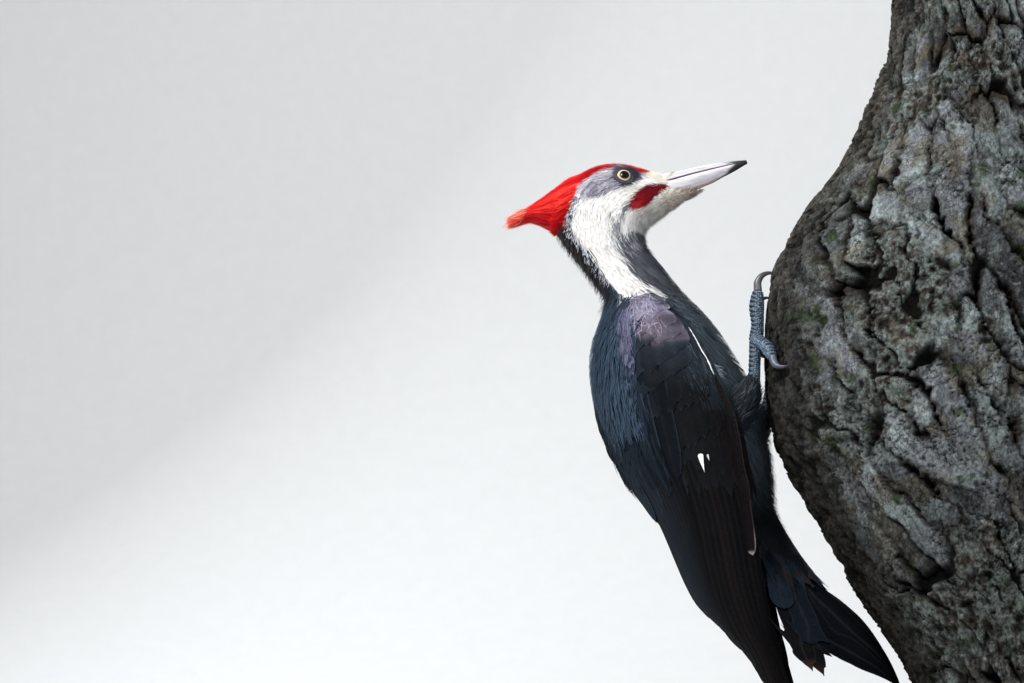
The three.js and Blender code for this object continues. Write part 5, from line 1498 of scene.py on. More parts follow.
    # lesser coverts of the shoulder, faded by wear, with a painted sheen
    for i, (a0_, w_, l_) in enumerate([(0.045, 7.0, 19), (0.022, 6.0, 16), (0.006, 5.2, 13), (-0.006, 4.4, 11), (-0.016, 3.8, 9)]):
        row(6 + i, lambda v, q0=a0_: q0 + 0.03 * v, 0.16, 0.80, l_, w_, 1.95, 2.28, tone, turn=0.04, edge=E2, edge_k=0.3, tilt=0.07, jitter=0.014)
    # strips down the leading edge, and crinkled pale vane edges on the shoulder
    n = 1700
    a_, b_ = scatter(at, n, -0.014, 0.47, -0.03, 0.24)
    keep_ = rs.random(n) < (1 - smooth(0.10, 0.22, b_) * 0.9) * (1 - smooth(0.24, 0.34, a_) * smooth(0.0, 0.06, b_))
    a_, b_ = a_[keep_], b_[keep_]
    n = len(a_)
    f = feathers(at, a_, b_, np.interp(a_, [0, 0.45], [10, 15]) * rs.uniform(0.8, 1.2, n), rs.uniform(0.4, 0.8, n), rs.normal(0.03, 0.05, n), 0.5 * thin(a_), rs.uniform(1.4, 1.95, n) * thin(a_), 6, 3, "hair", uvmap=wing_uv, power=1.0)
    c = 0.8 * tone(a_, b_ * 0.6) * (1 + rs.normal(0, 0.16, n))[:, None]
    c = lay(c, rgb(96, 102, 112), (rs.random(n) > 0.9) * 0.55 * (1 - smooth(0.14, 0.24, a_)))
    f["col"] = np.clip(c[:, None, None, :] * (0.82 + 0.25 * f["s"])[..., None], 0, 1)
    rows_.append(f)
    n = 150
    a_, b_ = rs.uniform(-0.01, 0.11, n), rs.uniform(0.26, 0.66, n)
    f = feathers(at, a_, b_, rs.uniform(2.5, 7.5, n), rs.uniform(0.1, 0.26, n), rs.normal(0.1, 0.7, n), 2.2, 2.65, 6, 3, "hair", uvmap=wing_uv, kink=rs.uniform(-0.4, 0.4, n))
    f["col"] = np.ones_like(f["P"]) * mix(rgb(172, 166, 188), rgb(112, 106, 128), rs.random(n))[:, None, None, :]
    rows_.append(f)
    coat("coverts_" + name, rows_, VANE, keep=0.22)

    # scapulars and mantle: broad vanes below, fine strips over them
    rows_ = []

    def mant(a_, b_):
        # bluish painted sheen in streaks, darker further down the wing
        st_ = noise(np.stack([a_ * 9, b_ * 60, 0 * a_], -1), 1.0, 23)
        c = mix(rgb(27, 35, 45), rgb(55, 68, 88), smooth(0.2, 0.8, st_))
        return c * mix(np.ones(3), np.array([0.30, 0.34, 0.30]), smooth(0.16, 0.36, a_))

    for i in range(12):
        row(8, lambda v, i=i: 0.31 - 0.028 * i + 0.02 * v, 0.70 - 0.012 * i, 1.04, 20, 4.6, 1.7, 2.4, mant, blunt=0.5, r=9, edge=rgb(66, 78, 96), edge_k=0.2, into=rows_)
    n = 3600
    a_, b_ = scatter(at, n, -0.012, 0.40, 0.60, 1.03)
    keep_ = rs.random(n) < (1 - 0.85 * (1 - smooth(0.60, 0.74, b_)))
    a_, b_ = a_[keep_], b_[keep_]
    n = len(a_)
    f = feathers(at, a_, b_, np.interp(a_, [0, 0.4], [12, 19]) * rs.uniform(0.8, 1.2, n), rs.uniform(0.4, 0.75, n), rs.normal(0.0, 0.06, n), (1.6 + 0 * a_) * thin(a_), (rs.uniform(2.2, 2.8, n)) * thin(a_), 6, 3, "hair", uvmap=wing_uv)
    c = mant(a_, b_) * (1 + rs.normal(0, 0.08, n))[:, None]
    c = lay(c, rgb(112, 120, 150), (rs.random(n) > 0.9) * 0.7 * (1 - smooth(0.12, 0.25, a_)))
    f["col"] = np.clip(c[:, None, None, :] * (0.85 + 0.2 * f["s"])[..., None], 0, 1)
    rows_.append(f)
    # pale lilac, frayed scapulars
    lil = lambda a_, b_: mix(rgb(92, 94, 118), rgb(46, 52, 68), smooth(0.3, 0.7, noise(np.stack([a_ * 90, b_ * 110, 0 * a_], -1), 1.0, 29)))
    row(4, lambda v: 0.055 + 0.07 * v, 0.74, 0.63, 17, 2.0, 2.5, 2.8, lil, form="point", turn=0.03, blunt=0.4, edge=rgb(134, 136, 160), edge_k=0.45, into=rows_, jitter=0.02)
    row(3, lambda v: 0.11 + 0.05 * v, 0.69, 0.60, 14, 2.3, 2.5, 2.8, lil, turn=0.0, edge=rgb(134, 136, 160), edge_k=0.5, into=rows_, jitter=0.02)
    n = 130
    a_, b_ = rs.uniform(0.03, 0.13, n), rs.uniform(0.60, 0.74, n)
    f = feathers(at, a_, b_, rs.uniform(7, 13, n), rs.uniform(0.15, 0.35, n), rs.normal(0.02, 0.12, n), 2.3, 2.95, 6, 3, "hair", uvmap=wing_uv)
    f["col"] = np.ones_like(f["P"]) * mix(rgb(128, 126, 152), rgb(84, 88, 112), rs.random(n))[:, None, None, :]
    rows_.append(f)
    coat("mantle_" + name, rows_, VANE, keep=0.22)
    # white line along the wing's bend
    n = 46
    a_ = np.linspace(0.105, 0.213, n) + rs.uniform(-0.002, 0.002, n)
    bb = np.interp(a_, [0.1, 0.16, 0.18, 0.213], [0.020, 0.020, 0.012, 0.016])
    f = feathers(at, a_, bb + rs.uniform(-0.002, 0.002, n), np.full(n, 4.0), 0.16 + 0.2 * np.sin(np.linspace(0.3, 2.8, n)) ** 2, rs.normal(0.0, 0.04, n), 2.2, 2.7, 5, 3, "hair", uvmap=wing_uv)
    f["col"] = np.ones_like(f["P"]) * rgb(240, 242, 244)
    n = 34
    tt, aa = rs.uniform(16.85, 17.3, n), rs.uniform(122, 129, n)
    g = feathers(body_at, tt / 25, side * aa / 360, rs.uniform(4, 8.5, n), rs.uniform(0.07, 0.16, n), side * (math.pi / 2 + rs.normal(0.0, 0.22, n)), rs.uniform(1.0, 2.0, n), rs.uniform(1.2, 2.2, n), 6, 3, "hair", kink=side * rs.uniform(-0.5, 0.1, n))
    g["col"] = np.ones_like(g["P"]) * mix(rgb(206, 214, 222), rgb(120, 130, 140), rs.random(n))[:, None, None, :]
    coat("wing_line_" + name, [f, g] if side < 0 else [f], HAIR)

# mantle between the wings
f = tufts(3200, 13.4, 19.0, lambda t: 15 + 0 * t, lambda t: 0.7 + 0 * t, cols=3, rows=6, weight=lambda A, B: (np.abs(B) < 0.21), spread=0.08, rise=(-0.2, 0.5), tint=0.12, lie=0.2)
coat("mantle_middle", [f], VANE, keep=0.2)

# ------------------------------------------------------------------ tail
def fan_at(a, b, h):
    """The tail's surface, carried on straight over the rump for a < 0."""
    s = np.asarray(a) * 150 + 0 * np.asarray(b)
    d = np.array([14.4, 0, -23.5]) / math.hypot(14.4, 23.5)
    return fan(np.maximum(s, 0), b, h) + np.minimum(s, 0)[..., None] * d


def rectrix(line, half, level, seed, tip, dark, end=None, rows=60, cols=13):
    """One tail feather, its shaft down line of (mm, q)."""
    surf_uv = lambda a, b: fan(a * 150, b)
    pts = [(p[0] / 150, p[1]) for p in line]
    S, c, A, B, mm = shaft_grid(pts, surf_uv, None, half, half, rows, cols, round_tip(0.84) if tip == "round" else point_tip(0.66, 1.5), root=lambda s: np.minimum(1, 0.4 + s / 0.4))
    thick = 1 + 1.2 * (1 - smooth(0, 0.35, A))
    H = level * thick - 0.45 * np.abs(c) ** 1.6 + 0.2 * np.sin(seed * 5 + 2) * smooth(0.5, 1, S)
    H = H - 0.3 * np.exp(-((c / 0.08) ** 2)) * (1 - 0.6 * S)
    P = fan(A * 150, B, H)
    N = unit(fan(A * 150, B, H - 0.5) - P)
    col = np.ones((rows, cols, 3)) * dark
    col = col * (0.8 + 0.4 * noise(np.stack([A * 30, mm / 2.5, 0 * A + seed], -1), 1.0, 2))[..., None]
    col = lay(col, rgb(36, 36, 40), 0.5 * smooth(0.86, 0.98, np.abs(c)))
    if end is not None:
        col = lay(col, end, 0.85 * smooth(0.78, 0.9, S))
    col = lay(col, rgb(46, 44, 46), 0.4 * np.exp(-((c / 0.05) ** 2)))
    vane = np.stack([mm / 10, (A * 150 - 0.9 * np.abs(mm)) / 10], -1)
    return P, col, vane, N


q = []
RECTRICES = [
    ([(0, 0.05), (50, 0.10), (100, 0.075), (150, 0.02)], 8.0, 1.1, "point", rgb(10, 12, 16), None),
    ([(0, 0.12), (45, 0.24), (85, 0.24), (115, 0.13), (146, 0.045)], 8.5, 0.7, "point", rgb(12, 15, 20), None),
    ([(0, 0.2), (45, 0.42), (80, 0.49), (104, 0.29), (133, 0.10)], 8.5, 0.3, "point", rgb(11, 14, 18), None),
    ([(0, 0.3), (50, 0.62), (85, 0.76), (112, 0.67)], 8.5, -0.15, "point", rgb(17, 17, 20), rgb(56, 40, 34)),
    ([(0, 0.28), (40, 0.42), (65, 0.57), (85, 0.68)], 8.5, -0.65, "round", rgb(20, 25, 33), None),
    ([(0, 0.35), (25, 0.55), (45, 0.66), (60, 0.75)], 8.2, -1.15, "round", rgb(25, 33, 44), None),
]
for k, (line, half, level, tip, dark, end) in enumerate(RECTRICES):
    for sgn in (-1, 1):
        q.append(rectrix([(s, sgn * v) for s, v in line], half, level, k + 0.37 * sgn, tip, dark, end))
bundle("tail_feathers", q, QUILL, ["tail"])

parts = []
for top in (False, True):
    n = 480
    a = R(-0.12, 0.26, n) if not top else R(-0.14, 0.2, n)
    b = rng.normal(0, 0.42, n).clip(-0.95, 0.95)
    a = a * (1 - 0.35 * np.abs(b))
    h = np.full(n, 3.6 if top else -3.4) * np.interp(a, [-0.1, 0.26], [1.15, 0.6])
    f = feathers(fan_at, a, b, R(17, 24, n), R(1.4, 2.6, n), rng.normal(0, 0.16, n), h, h * 0.75 + R(-0.6, 0.3, n), 9, 5, "point", fray=0.02, blunt=0.4, uvmap=lambda a, b: np.stack([0.1 + 0.4 * (b + 1), 0.1 + 0.8 * np.clip(a + 0.2, 0, 1)], -1))
    f["N"] = f["N"] * (1 if top else -1)
    c = mix(rgb(12, 15, 19), rgb(30, 38, 48), R(0, 1, n))
    c = lay(c, rgb(48, 38, 36), (R(0, 1, n) > 0.8) * 0.5)
    f["col"] = c[:, None, None, :] * (0.8 + 0.3 * f["s"])[..., None]
    parts.append(f)
coat("coat_tail_coverts", parts, VANE, keep=0.4)


# ------------------------------------------------------------------ wood
def worley(u, v, period, seed):
    """Distances to the nearest and second nearest jittered cell points, and the nearest cell's number."""
    r = np.random.default_rng(seed)
    ju, jv, cid = r.random((64, 256)), r.random((64, 256)), r.random((64, 256))
    iu, iv = np.floor(u).astype(int), np.floor(v).astype(int)
    best, second, who = np.full(u.shape, 9.0), np.full(u.shape, 9.0), np.zeros(u.shape)
    ou, ov = np.zeros(u.shape), np.zeros(u.shape)
    for du in (-1, 0, 1):
        for dv in (-1, 0, 1):
            cu, cv = iu + du, iv + dv
            k, l = cu % period % 64, cv & 255
            wu, wv = cu + 0.15 + 0.7 * ju[k, l] - u, cv + 0.15 + 0.7 * jv[k, l] - v
            d = np.hypot(wu, wv)
            near = d < best
            ou, ov = np.where(near, wu, ou), np.where(near, wv, ov)
            second = np.where(near, best, np.minimum(second, d))
            who = np.where(near, cid[k, l], who)
            best = np.where(near, d, best)
    return second - best, who, ou, ov


def facet(u, v, period, seed):
    """A broken face of tilted flat flakes: the gap to the next flake, the flake's number and its height."""
    gap, who, ou, ov = worley(u, v, period, seed)
    return gap, who, (2 * (who * 57.3 % 1) - 1) * ou + (2 * (who * 91.7 % 1) - 1) * ov + 0.9 * (who - 0.5)


def ridged(p, size, octaves, seed):
    """Noise with sharp crests, 0..1."""
    out, amp, tot = 0, 1.0, 0.0
    for o in range(octaves):
        out = out + amp * (1 - np.abs(2 * noise(p, size / 2**o, seed + o) - 1))
        tot += amp
        amp *= 0.55
    return out / tot


def log_mesh():
    k, m = 440, 330
    z = np.linspace(62, 516, k)[:, None] * np.ones(m)
    # columns crowd on the side that faces -y
    th = np.linspace(-math.pi, math.pi, m, endpoint=False)
    a = (-math.pi / 2 + th - 0.42 * np.sin(th))[None] * np.ones((k, 1))
    rows = np.array(LOG_LOOPS, float)
    t = np.interp(z[:, 0], rows[:, 0], np.arange(len(rows)))
    sp = spline(rows[:, 1:], t)
    l, r, hd = [sp[:, j][:, None] for j in range(3)]
    cx, rx = (l + r) / 2, (r - l) / 2
    left = smooth(0.55, 0.95, -np.cos(a))
    bark = 0.022 * np.sin(9 * a + 0.02 * z) * np.sin(0.045 * z + 2 * a) * (1 - left)
    x, y = cx + rx * np.cos(a) * (1 + bark), hd * np.sin(a) * (1 + bark)
    P = np.stack([x, y, z], -1)
    N = unit(np.stack([np.cos(a) / rx, np.sin(a) / hd, 0 * a], -1))
    W = P.copy()
    arc = a / (2 * math.pi)
    # long plates that lean with the grain, their edges ragged
    cells = 34
    w1, w2, w3 = fbm(W, 34, 2, 1) - 0.5, fbm(W, 10, 2, 8) - 0.5, fbm(W, 3.2, 2, 18) - 0.5
    lean = (z - 290) * 0.52 / 18.5
    u = arc * cells + lean + 1.0 * w1 + 0.5 * w2 + 0.30 * w3
    v = z / 54 + 0.8 * (fbm(W, 40, 2, 15) - 0.5) + 0.16 * w2 + 0.06 * w3
    gap, who, face = facet(u, v, cells, 3)
    fade = smooth(0.36, 0.56, fbm(W, 26, 2, 23))
    wide = 0.05 + 0.16 * smooth(0.45, 0.7, fbm(W, 16, 2, 27))
    crack = (1 - smooth(0.6, 1.0, (gap + 0.10 * w3) / wide)) * (0.12 + 0.88 * fade)
    wall = (1 - smooth(0.12, 0.34, gap + 0.16 * w3)) * (0.3 + 0.7 * fade)
    # flakes and hair cracks within a plate, and crumbs
    gap2, who2, flake_ = facet(u * 3 + 0.5 * w3, v * 6.5 + 2.4 * w2, cells * 3, 8)
    gap3, who3, chip = facet(u * 8, v * 19 + 1.5 * w3, cells * 8, 28)
    crack2 = (1 - smooth(0.02, 0.12, gap2)) * smooth(0.46, 0.60, noise(W, 15, 6))
    # crumbly patches, always so where the bird clings
    rot = np.maximum(smooth(0.53, 0.60, fbm(W, 42, 3, 77) + 0.06 * (w3 + w2) + 0.10 * smooth(400, 470, z) + 0.16 * left), 0.95 * left)
    r1 = ridged(W * np.array([1, 1, 0.8]), 11, 4, 41)
    r2 = ridged(W, 4.2, 3, 61)
    grain = fbm(np.stack([u * 20, v * 9, 0 * u], -1), 1.0, 3, 12)
    rough = smooth(0.44, 0.62, fbm(W, 13, 2, 88))
    flat = (who - 0.5) * 2.2 + 1.5 * face + (0.35 + 0.9 * rough) * flake_ + (0.15 + 0.5 * rough) * chip + 0.8 * (grain - 0.5)
    flat = flat - 6.5 * crack - 1.2 * wall - 1.3 * crack2
    crumb = (r1 - 0.62) * 6.5 + (r2 - 0.6) * 2.4 + 1.9 * flake_ + 1.1 * chip - 3.4 * crack - 0.8
    h = flat * (1 - rot) + crumb * rot - 0.6
    # on the bird's side the relief is held between the outline and a shallow depth, most of all at the feet
    hold = np.exp(-(((z - 300) / 52) ** 4))
    side = np.clip((r1 - 0.60) * 7.5 + (r2 - 0.6) * 3.0 + 1.7 * flake_ + 1.2 * chip - 0.3, -3.6, 2.6 - 1.6 * hold)
    h = h * (1 - left) + side * left
    end = np.minimum(smooth(62, 70, z), 1 - smooth(509, 516, z))
    h = h * end - 2.5 * (1 - end)
    P = P + N * h[..., None]
    tone, fine = fbm(W, 14, 4, 51), fbm(W, 2.8, 3, 61)
    plate_ = mix(rgb(86, 87, 88), rgb(128, 132, 137), smooth(0.32, 0.68, 0.5 * tone + 0.5 * grain + 0.22 * (who2 - 0.5) + 0.2 * (who - 0.5)))
    plate_ = lay(plate_, rgb(148, 158, 158), 0.75 * smooth(0.52, 0.62, fbm(W, 18, 3, 81) + 0.3 * (fine - 0.5) + 0.10 * (who3 - 0.5)))
    plate_ = lay(plate_, rgb(100, 92, 74), 0.6 * smooth(0.55, 0.64, fbm(W, 15, 3, 71) + 0.3 * (fine - 0.5)))
    loose = mix(rgb(38, 32, 28), rgb(88, 82, 76), smooth(0.40, 0.85, 0.5 * r1 + 0.3 * r2 + 0.3 * who2))
    loose = lay(loose, rgb(124, 133, 131), 0.75 * smooth(0.54, 0.66, 0.5 * r2 + 0.4 * fbm(W, 12, 3, 93) + 0.16 * who3) * (1 - 0.85 * left))
    col = mix(plate_, loose, rot)
    col = lay(col, rgb(58, 48, 41), 0.75 * wall * (1 - rot))
    col = lay(col, rgb(56, 70, 42), 0.8 * smooth(0.70, 0.76, fbm(W, 12, 3, 91) + 0.2 * (fine - 0.5)))
    # painted shade: fissures and hair cracks near black
    col = lay(col, rgb(17, 14, 12), np.clip(0.97 * crack + 0.75 * crack2, 0, 1))
    # painted shade on the bird's side, stronger low down; the whole log also darker towards the bottom
    painted_shade_side = smooth(0.10, 0.75, left + 0.7 * (fbm(W, 20, 3, 5) - 0.5))
    col = col * (1 - painted_shade_side * (0.66 - 0.32 * smooth(290, 350, z)))[..., None]
    col = col * (1 - 0.36 * (1 - smooth(140, 270, z)))[..., None]
    # painted shade: darker in the hollows of the relief, lighter on its crests
    col = col * np.array([0.93, 0.95, 0.95]) * (0.38 + 0.80 * smooth(-4.2, 2.4, h + (fine - 0.5) * 3))[..., None]
    uv = np.stack([0.02 + 0.96 * (th[None] / (2 * math.pi) + 0.5) * np.ones((k, 1)), 0.02 + 0.90 * (z - 62) / 454], -1)
    V = [P.reshape(-1, 3)]
    C = [col.reshape(-1, 3)]
    U = [uv.reshape(-1, 2)]
    Q = [grid_faces(1, k, m, True)]
    off = k * m
    # sawn ends with growth rings
    for top in (False, True):
        ring0 = P[-1 if top else 0]
        mid = ring0.mean(0)
        kk = 14
        f = np.linspace(1, 0.004, kk)[:, None, None]
        D = mid + (ring0[None] - mid) * f
        rad = f[..., 0] * np.ones(m)
        ringed = 0.5 + 0.5 * np.sin(rad * 150 + 5 * fbm(D, 30, 3, 5))
        cc = mix(rgb(176, 140, 98), rgb(140, 104, 70), ringed * 0.8)
        cc = lay(cc, rgb(86, 70, 56), smooth(0.93, 0.96, rad))
        cc = cc * (0.85 + 0.25 * fbm(D, 4, 2, 6))[..., None]
        D[..., 2] += (0.25 * (ringed - 0.5)) * (1 - smooth(0.9, 1.0, rad))
        V.append(D.reshape(-1, 3))
        C.append(cc.reshape(-1, 3))
        cu = 0.25 if not top else 0.75
        ang = np.linspace(0, 2 * math.pi, m, endpoint=False)[None]
        U.append(np.stack([cu + 0.03 * rad * np.cos(ang), 0.96 + 0.03 * rad * np.sin(ang)], -1).reshape(-1, 2))
        g = grid_faces(1, kk, m, True)
        Q.append((g[:, ::-1] if not top else g) + off)
        off += kk * m
    return np.vstack(V), np.vstack(Q), np.vstack(C), np.vstack(U)


V, Q, C, U = log_mesh()
BARK, nt, b = material("bark", 0.92, 0.12)
vc = node(nt, "ShaderNodeVertexColor", layer_name="col")
tc = node(nt, "ShaderNodeTexCoord")
warp = node(nt, "ShaderNodeTexNoise", in_Scale=140.0, in_Detail=2.0)
link(nt, tc.outputs["Object"], warp.inputs["Vector"])
wsc = node(nt, "ShaderNodeVectorMath", operation="SCALE")
wsc.inputs["Scale"].default_value = 0.0022
link(nt, warp.outputs["Color"], wsc.inputs[0])
wad = node(nt, "ShaderNodeVectorMath", operation="ADD")
link(nt, tc.outputs["Object"], wad.inputs[0])
link(nt, wsc.outputs["Vector"], wad.inputs[1])
# flaky grain, drawn out along the wood
mp = node(nt, "ShaderNodeMapping")
mp.inputs["Rotation"].default_value = (0, -0.45, 0)
mp.inputs["Scale"].default_value = (1.0, 1.0, 0.7)
link(nt, wad.outputs["Vector"], mp.inputs["Vector"])
flake = node(nt, "ShaderNodeTexNoise", in_Scale=520.0, in_Detail=6.0, in_Roughness=0.75)
link(nt, mp.outputs["Vector"], flake.inputs["Vector"])
speck = node(nt, "ShaderNodeTexVoronoi", in_Scale=720.0)
link(nt, wad.outputs["Vector"], speck.inputs["Vector"])
fine = node(nt, "ShaderNodeTexNoise", in_Scale=2300.0, in_Detail=3.0)
link(nt, tc.outputs["Object"], fine.inputs["Vector"])
mr = node(nt, "ShaderNodeMapRange")
mr.inputs["From Min"].default_value, mr.inputs["From Max"].default_value = 0.36, 0.66
mr.inputs["To Min"].default_value, mr.inputs["To Max"].default_value = 0.42, 1.5
link(nt, flake.outputs["Fac"], mr.inputs["Value"])
mf = node(nt, "ShaderNodeMapRange")
mf.inputs["From Min"].default_value, mf.inputs["From Max"].default_value = 0.3, 0.7
mf.inputs["To Min"].default_value, mf.inputs["To Max"].default_value = 0.8, 1.2
link(nt, fine.outputs["Fac"], mf.inputs["Value"])
mm = node(nt, "ShaderNodeMath", operation="MULTIPLY")
link(nt, mr.outputs["Result"], mm.inputs[0])
link(nt, mf.outputs["Result"], mm.inputs[1])
# hair cracks between small scales of bark
hair = node(nt, "ShaderNodeTexVoronoi", feature="DISTANCE_TO_EDGE", in_Scale=300.0)
link(nt, mp.outputs["Vector"], hair.inputs["Vector"])
mh = node(nt, "ShaderNodeMapRange")
mh.inputs["From Min"].default_value, mh.inputs["From Max"].default_value = 0.0, 0.09
mh.inputs["To Min"].default_value, mh.inputs["To Max"].default_value = 0.34, 1.0
link(nt, hair.outputs["Distance"], mh.inputs["Value"])
mhm = node(nt, "ShaderNodeMath", operation="MULTIPLY")
link(nt, mm.outputs[0], mhm.inputs[0])
some = node(nt, "ShaderNodeTexNoise", in_Scale=75.0, in_Detail=2.0)
link(nt, tc.outputs["Object"], some.inputs["Vector"])
msm = node(nt, "ShaderNodeMapRange")
msm.inputs["From Min"].default_value, msm.inputs["From Max"].default_value = 0.46, 0.62
msm.inputs["To Min"].default_value, msm.inputs["To Max"].default_value = 1.0, 0.0
link(nt, some.outputs["Fac"], msm.inputs["Value"])
mmx = node(nt, "ShaderNodeMath", operation="MAXIMUM")
link(nt, mh.outputs["Result"], mmx.inputs[0])
link(nt, msm.outputs["Result"], mmx.inputs[1])
link(nt, mmx.outputs[0], mhm.inputs[1])
mm = mhm
sc = node(nt, "ShaderNodeVectorMath", operation="SCALE")
link(nt, vc.outputs["Color"], sc.inputs[0])
link(nt, mm.outputs[0], sc.inputs["Scale"])
# pale crusts of lichen between the pits
spots = node(nt, "ShaderNodeTexNoise", in_Scale=230.0, in_Detail=5.0, in_Roughness=0.7)
link(nt, wad.outputs["Vector"], spots.inputs["Vector"])
ms = node(nt, "ShaderNodeMapRange")
ms.inputs["From Min"].default_value, ms.inputs["From Max"].default_value = 0.56, 0.66
ms.inputs["To Min"].default_value, ms.inputs["To Max"].default_value = 0.0, 0.42
link(nt, spots.outputs["Fac"], ms.inputs["Value"])
lich = node(nt, "ShaderNodeVectorMath", operation="SCALE")
lich.inputs[0].default_value = (0.31, 0.34, 0.33)
link(nt, mm.outputs[0], lich.inputs["Scale"])
mx = node(nt, "ShaderNodeMix", data_type="RGBA")
link(nt, ms.outputs["Result"], mx.inputs[0])
link(nt, sc.outputs["Vector"], mx.inputs[6])
link(nt, lich.outputs["Vector"], mx.inputs[7])
# no lichen down in the cracks
lum = node(nt, "ShaderNodeRGBToBW")
link(nt, vc.outputs["Color"], lum.inputs[0])
ml = node(nt, "ShaderNodeMapRange")
ml.inputs["From Min"].default_value, ml.inputs["From Max"].default_value = 0.03, 0.09
link(nt, lum.outputs[0], ml.inputs["Value"])
mx2 = node(nt, "ShaderNodeMix", data_type="RGBA")
link(nt, ml.outputs["Result"], mx2.inputs[0])
link(nt, sc.outputs["Vector"], mx2.inputs[6])
link(nt, mx.outputs[2], mx2.inputs[7])
link(nt, mx2.outputs[2], b.inputs["Base Color"])
bp1 = node(nt, "ShaderNodeBump", in_Strength=0.9)
bp1.inputs["Distance"].default_value = 0.0016
link(nt, flake.outputs["Fac"], bp1.inputs["Height"])
bp2 = node(nt, "ShaderNodeBump", in_Strength=0.5)
bp2.inputs["Distance"].default_value = 0.0006
link(nt, speck.outputs["Distance"], bp2.inputs["Height"])
link(nt, bp1.outputs["Normal"], bp2.inputs["Normal"])
bp3 = node(nt, "ShaderNodeBump", in_Strength=0.5)
bp3.inputs["Distance"].default_value = 0.0004
link(nt, fine.outputs["Fac"], bp3.inputs["Height"])
link(nt, bp2.outputs["Normal"], bp3.inputs["Normal"])
link(nt, bp3.outputs["Normal"], b.inputs["Normal"])
place(mesh("bark_log", V, Q, None, C, U), BARK, ["perch_log"])
print("log", 2 * len(Q))


# ------------------------------------------------------------------ stand
def noise_wood(name, light, dark_, scale, rough=0.35):
    mat, nt, b = material(name, rough, 0.5, coat_w=0.35, coat_rough=0.2)
    tc = node(nt, "ShaderNodeTexCoord")
    mp = node(nt, "ShaderNodeMapping")
    mp.inputs["Scale"].default_value = scale
    link(nt, tc.outputs["Object"], mp.inputs["Vector"])
    nz = node(nt, "ShaderNodeTexNoise", in_Scale=1.0, in_Detail=6.0, in_Distortion=0.6)
    link(nt, mp.outputs["Vector"], nz.inputs["Vector"])
    wv = node(nt, "ShaderNodeTexWave", bands_direction="Y", in_Scale=0.35, in_Distortion=2.5, in_Detail=3.0)
    link(nt, mp.outputs["Vector"], wv.inputs["Vector"])
    mx = node(nt, "ShaderNodeMix", data_type="FLOAT")
    mx.inputs[0].default_value = 0.35
    link(nt, nz.outputs["Fac"], mx.inputs[2])
    link(nt, wv.outputs["Fac"], mx.inputs[3])
    cr = node(nt, "ShaderNodeValToRGB")
    cr.color_ramp.elements[0].position, cr.color_ramp.elements[0].color = 0.3, (*dark_, 1)
    cr.color_ramp.elements[1].position, cr.color_ramp.elements[1].color = 0.72, (*light, 1)
    link(nt, mx.outputs[0], cr.inputs["Fac"])
    link(nt, cr.outputs["Color"], b.inputs["Base Color"])
    bp = node(nt, "ShaderNodeBump", in_Strength=0.2)
    bp.inputs["Distance"].default_value = 0.0003
    link(nt, nz.outputs["Fac"], bp.inputs["Height"])
    link(nt, bp.outputs["Normal"], b.inputs["Normal"])
    return mat


lo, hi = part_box("stand_base")
lo, hi = np.array(lo) * 1000, np.array(hi) * 1000
prof = [(3.0, 0.0), (1.2, 0.15), (0.3, 0.8), (0.0, 2.0), (0.0, 8.0), (0.5, 9.6), (1.8, 10.6), (3.2, 11.2), (4.2, 12.6), (5.2, 14.6), (7.0, 16.6), (9.4, 17.7), (11.0, 18.0)]
m = 200
ang = np.linspace(0, 2 * math.pi, m, endpoint=False)
rings = []
for inset, z in prof:
    hx, hy, rr = (hi[0] - lo[0]) / 2 - inset, (hi[1] - lo[1]) / 2 - inset, 12.0
    # rounded rectangle by angle: a superellipse near the corners
    n_ = 14.0
    k_ = (np.abs(np.cos(ang)) ** n_ + np.abs(np.sin(ang)) ** n_) ** (-1 / n_)
    rings.append(np.stack([(lo[0] + hi[0]) / 2 + hx * k_ * np.cos(ang), (lo[1] + hi[1]) / 2 + hy * k_ * np.sin(ang), lo[2] + z + 0 * ang], -1))
WOOD = noise_wood("stand_wood", rgb(98, 62, 40), rgb(60, 35, 22), (12, 90, 90))
place(loft("base_board", np.array(rings)), WOOD, ["stand_base"])
mat, nt, b = material("steel", 0.28, 0.5, metal=1.0)
tc = node(nt, "ShaderNodeTexCoord")
mp = node(nt, "ShaderNodeMapping")
mp.inputs["Scale"].default_value = (900, 900, 30)
nz = node(nt, "ShaderNodeTexNoise", in_Scale=1.0, in_Detail=3.0)
link(nt, tc.outputs["Object"], mp.inputs["Vector"])
link(nt, mp.outputs["Vector"], nz.inputs["Vector"])
cr = node(nt, "ShaderNodeValToRGB")
cr.color_ramp.elements[0].position, cr.color_ramp.elements[0].color = 0.3, (0.34, 0.35, 0.37, 1)
cr.color_ramp.elements[1].position, cr.color_ramp.elements[1].color = 0.7, (0.55, 0.56, 0.58, 1)
link(nt, nz.outputs["Fac"], cr.inputs["Fac"])
link(nt, cr.outputs["Color"], b.inputs["Base Color"])
mr = node(nt, "ShaderNodeMapRange")
mr.inputs["To Min"].default_value, mr.inputs["To Max"].default_value = 0.2, 0.4
link(nt, nz.outputs["Fac"], mr.inputs["Value"])
link(nt, mr.outputs["Result"], b.inputs["Roughness"])
for name in ("stand_rod_front", "stand_rod_rear"):
    lo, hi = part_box(name)
    lo, hi = np.array(lo) * 1000, np.array(hi) * 1000
    c = (lo + hi) / 2
    ang = np.linspace(0, 2 * math.pi, 64, endpoint=False)
    prof = [(5.4, lo[2]), (6.0, lo[2] + 0.6), (6.0, 18.02), (10.5, 18.05), (11.0, 18.5), (11.0, 21.0), (10.4, 21.8), (6.3, 22.4), (6.0, 22.9), (6.0, 59.0), (6.0, hi[2] - 0.6), (5.4, hi[2])]
    rings = np.array([np.stack([c[0] + r_ * np.cos(ang), c[1] + r_ * np.sin(ang), z + 0 * ang], -1) for r_, z in prof])
    ob = loft(name.replace("stand_", "steel_"), rings)
    for p in ob.data.polygons:
        p.use_smooth = True
    ob.modifiers.new("edges", "EDGE_SPLIT").split_angle = math.radians(35)
    place(ob, mat, [name])

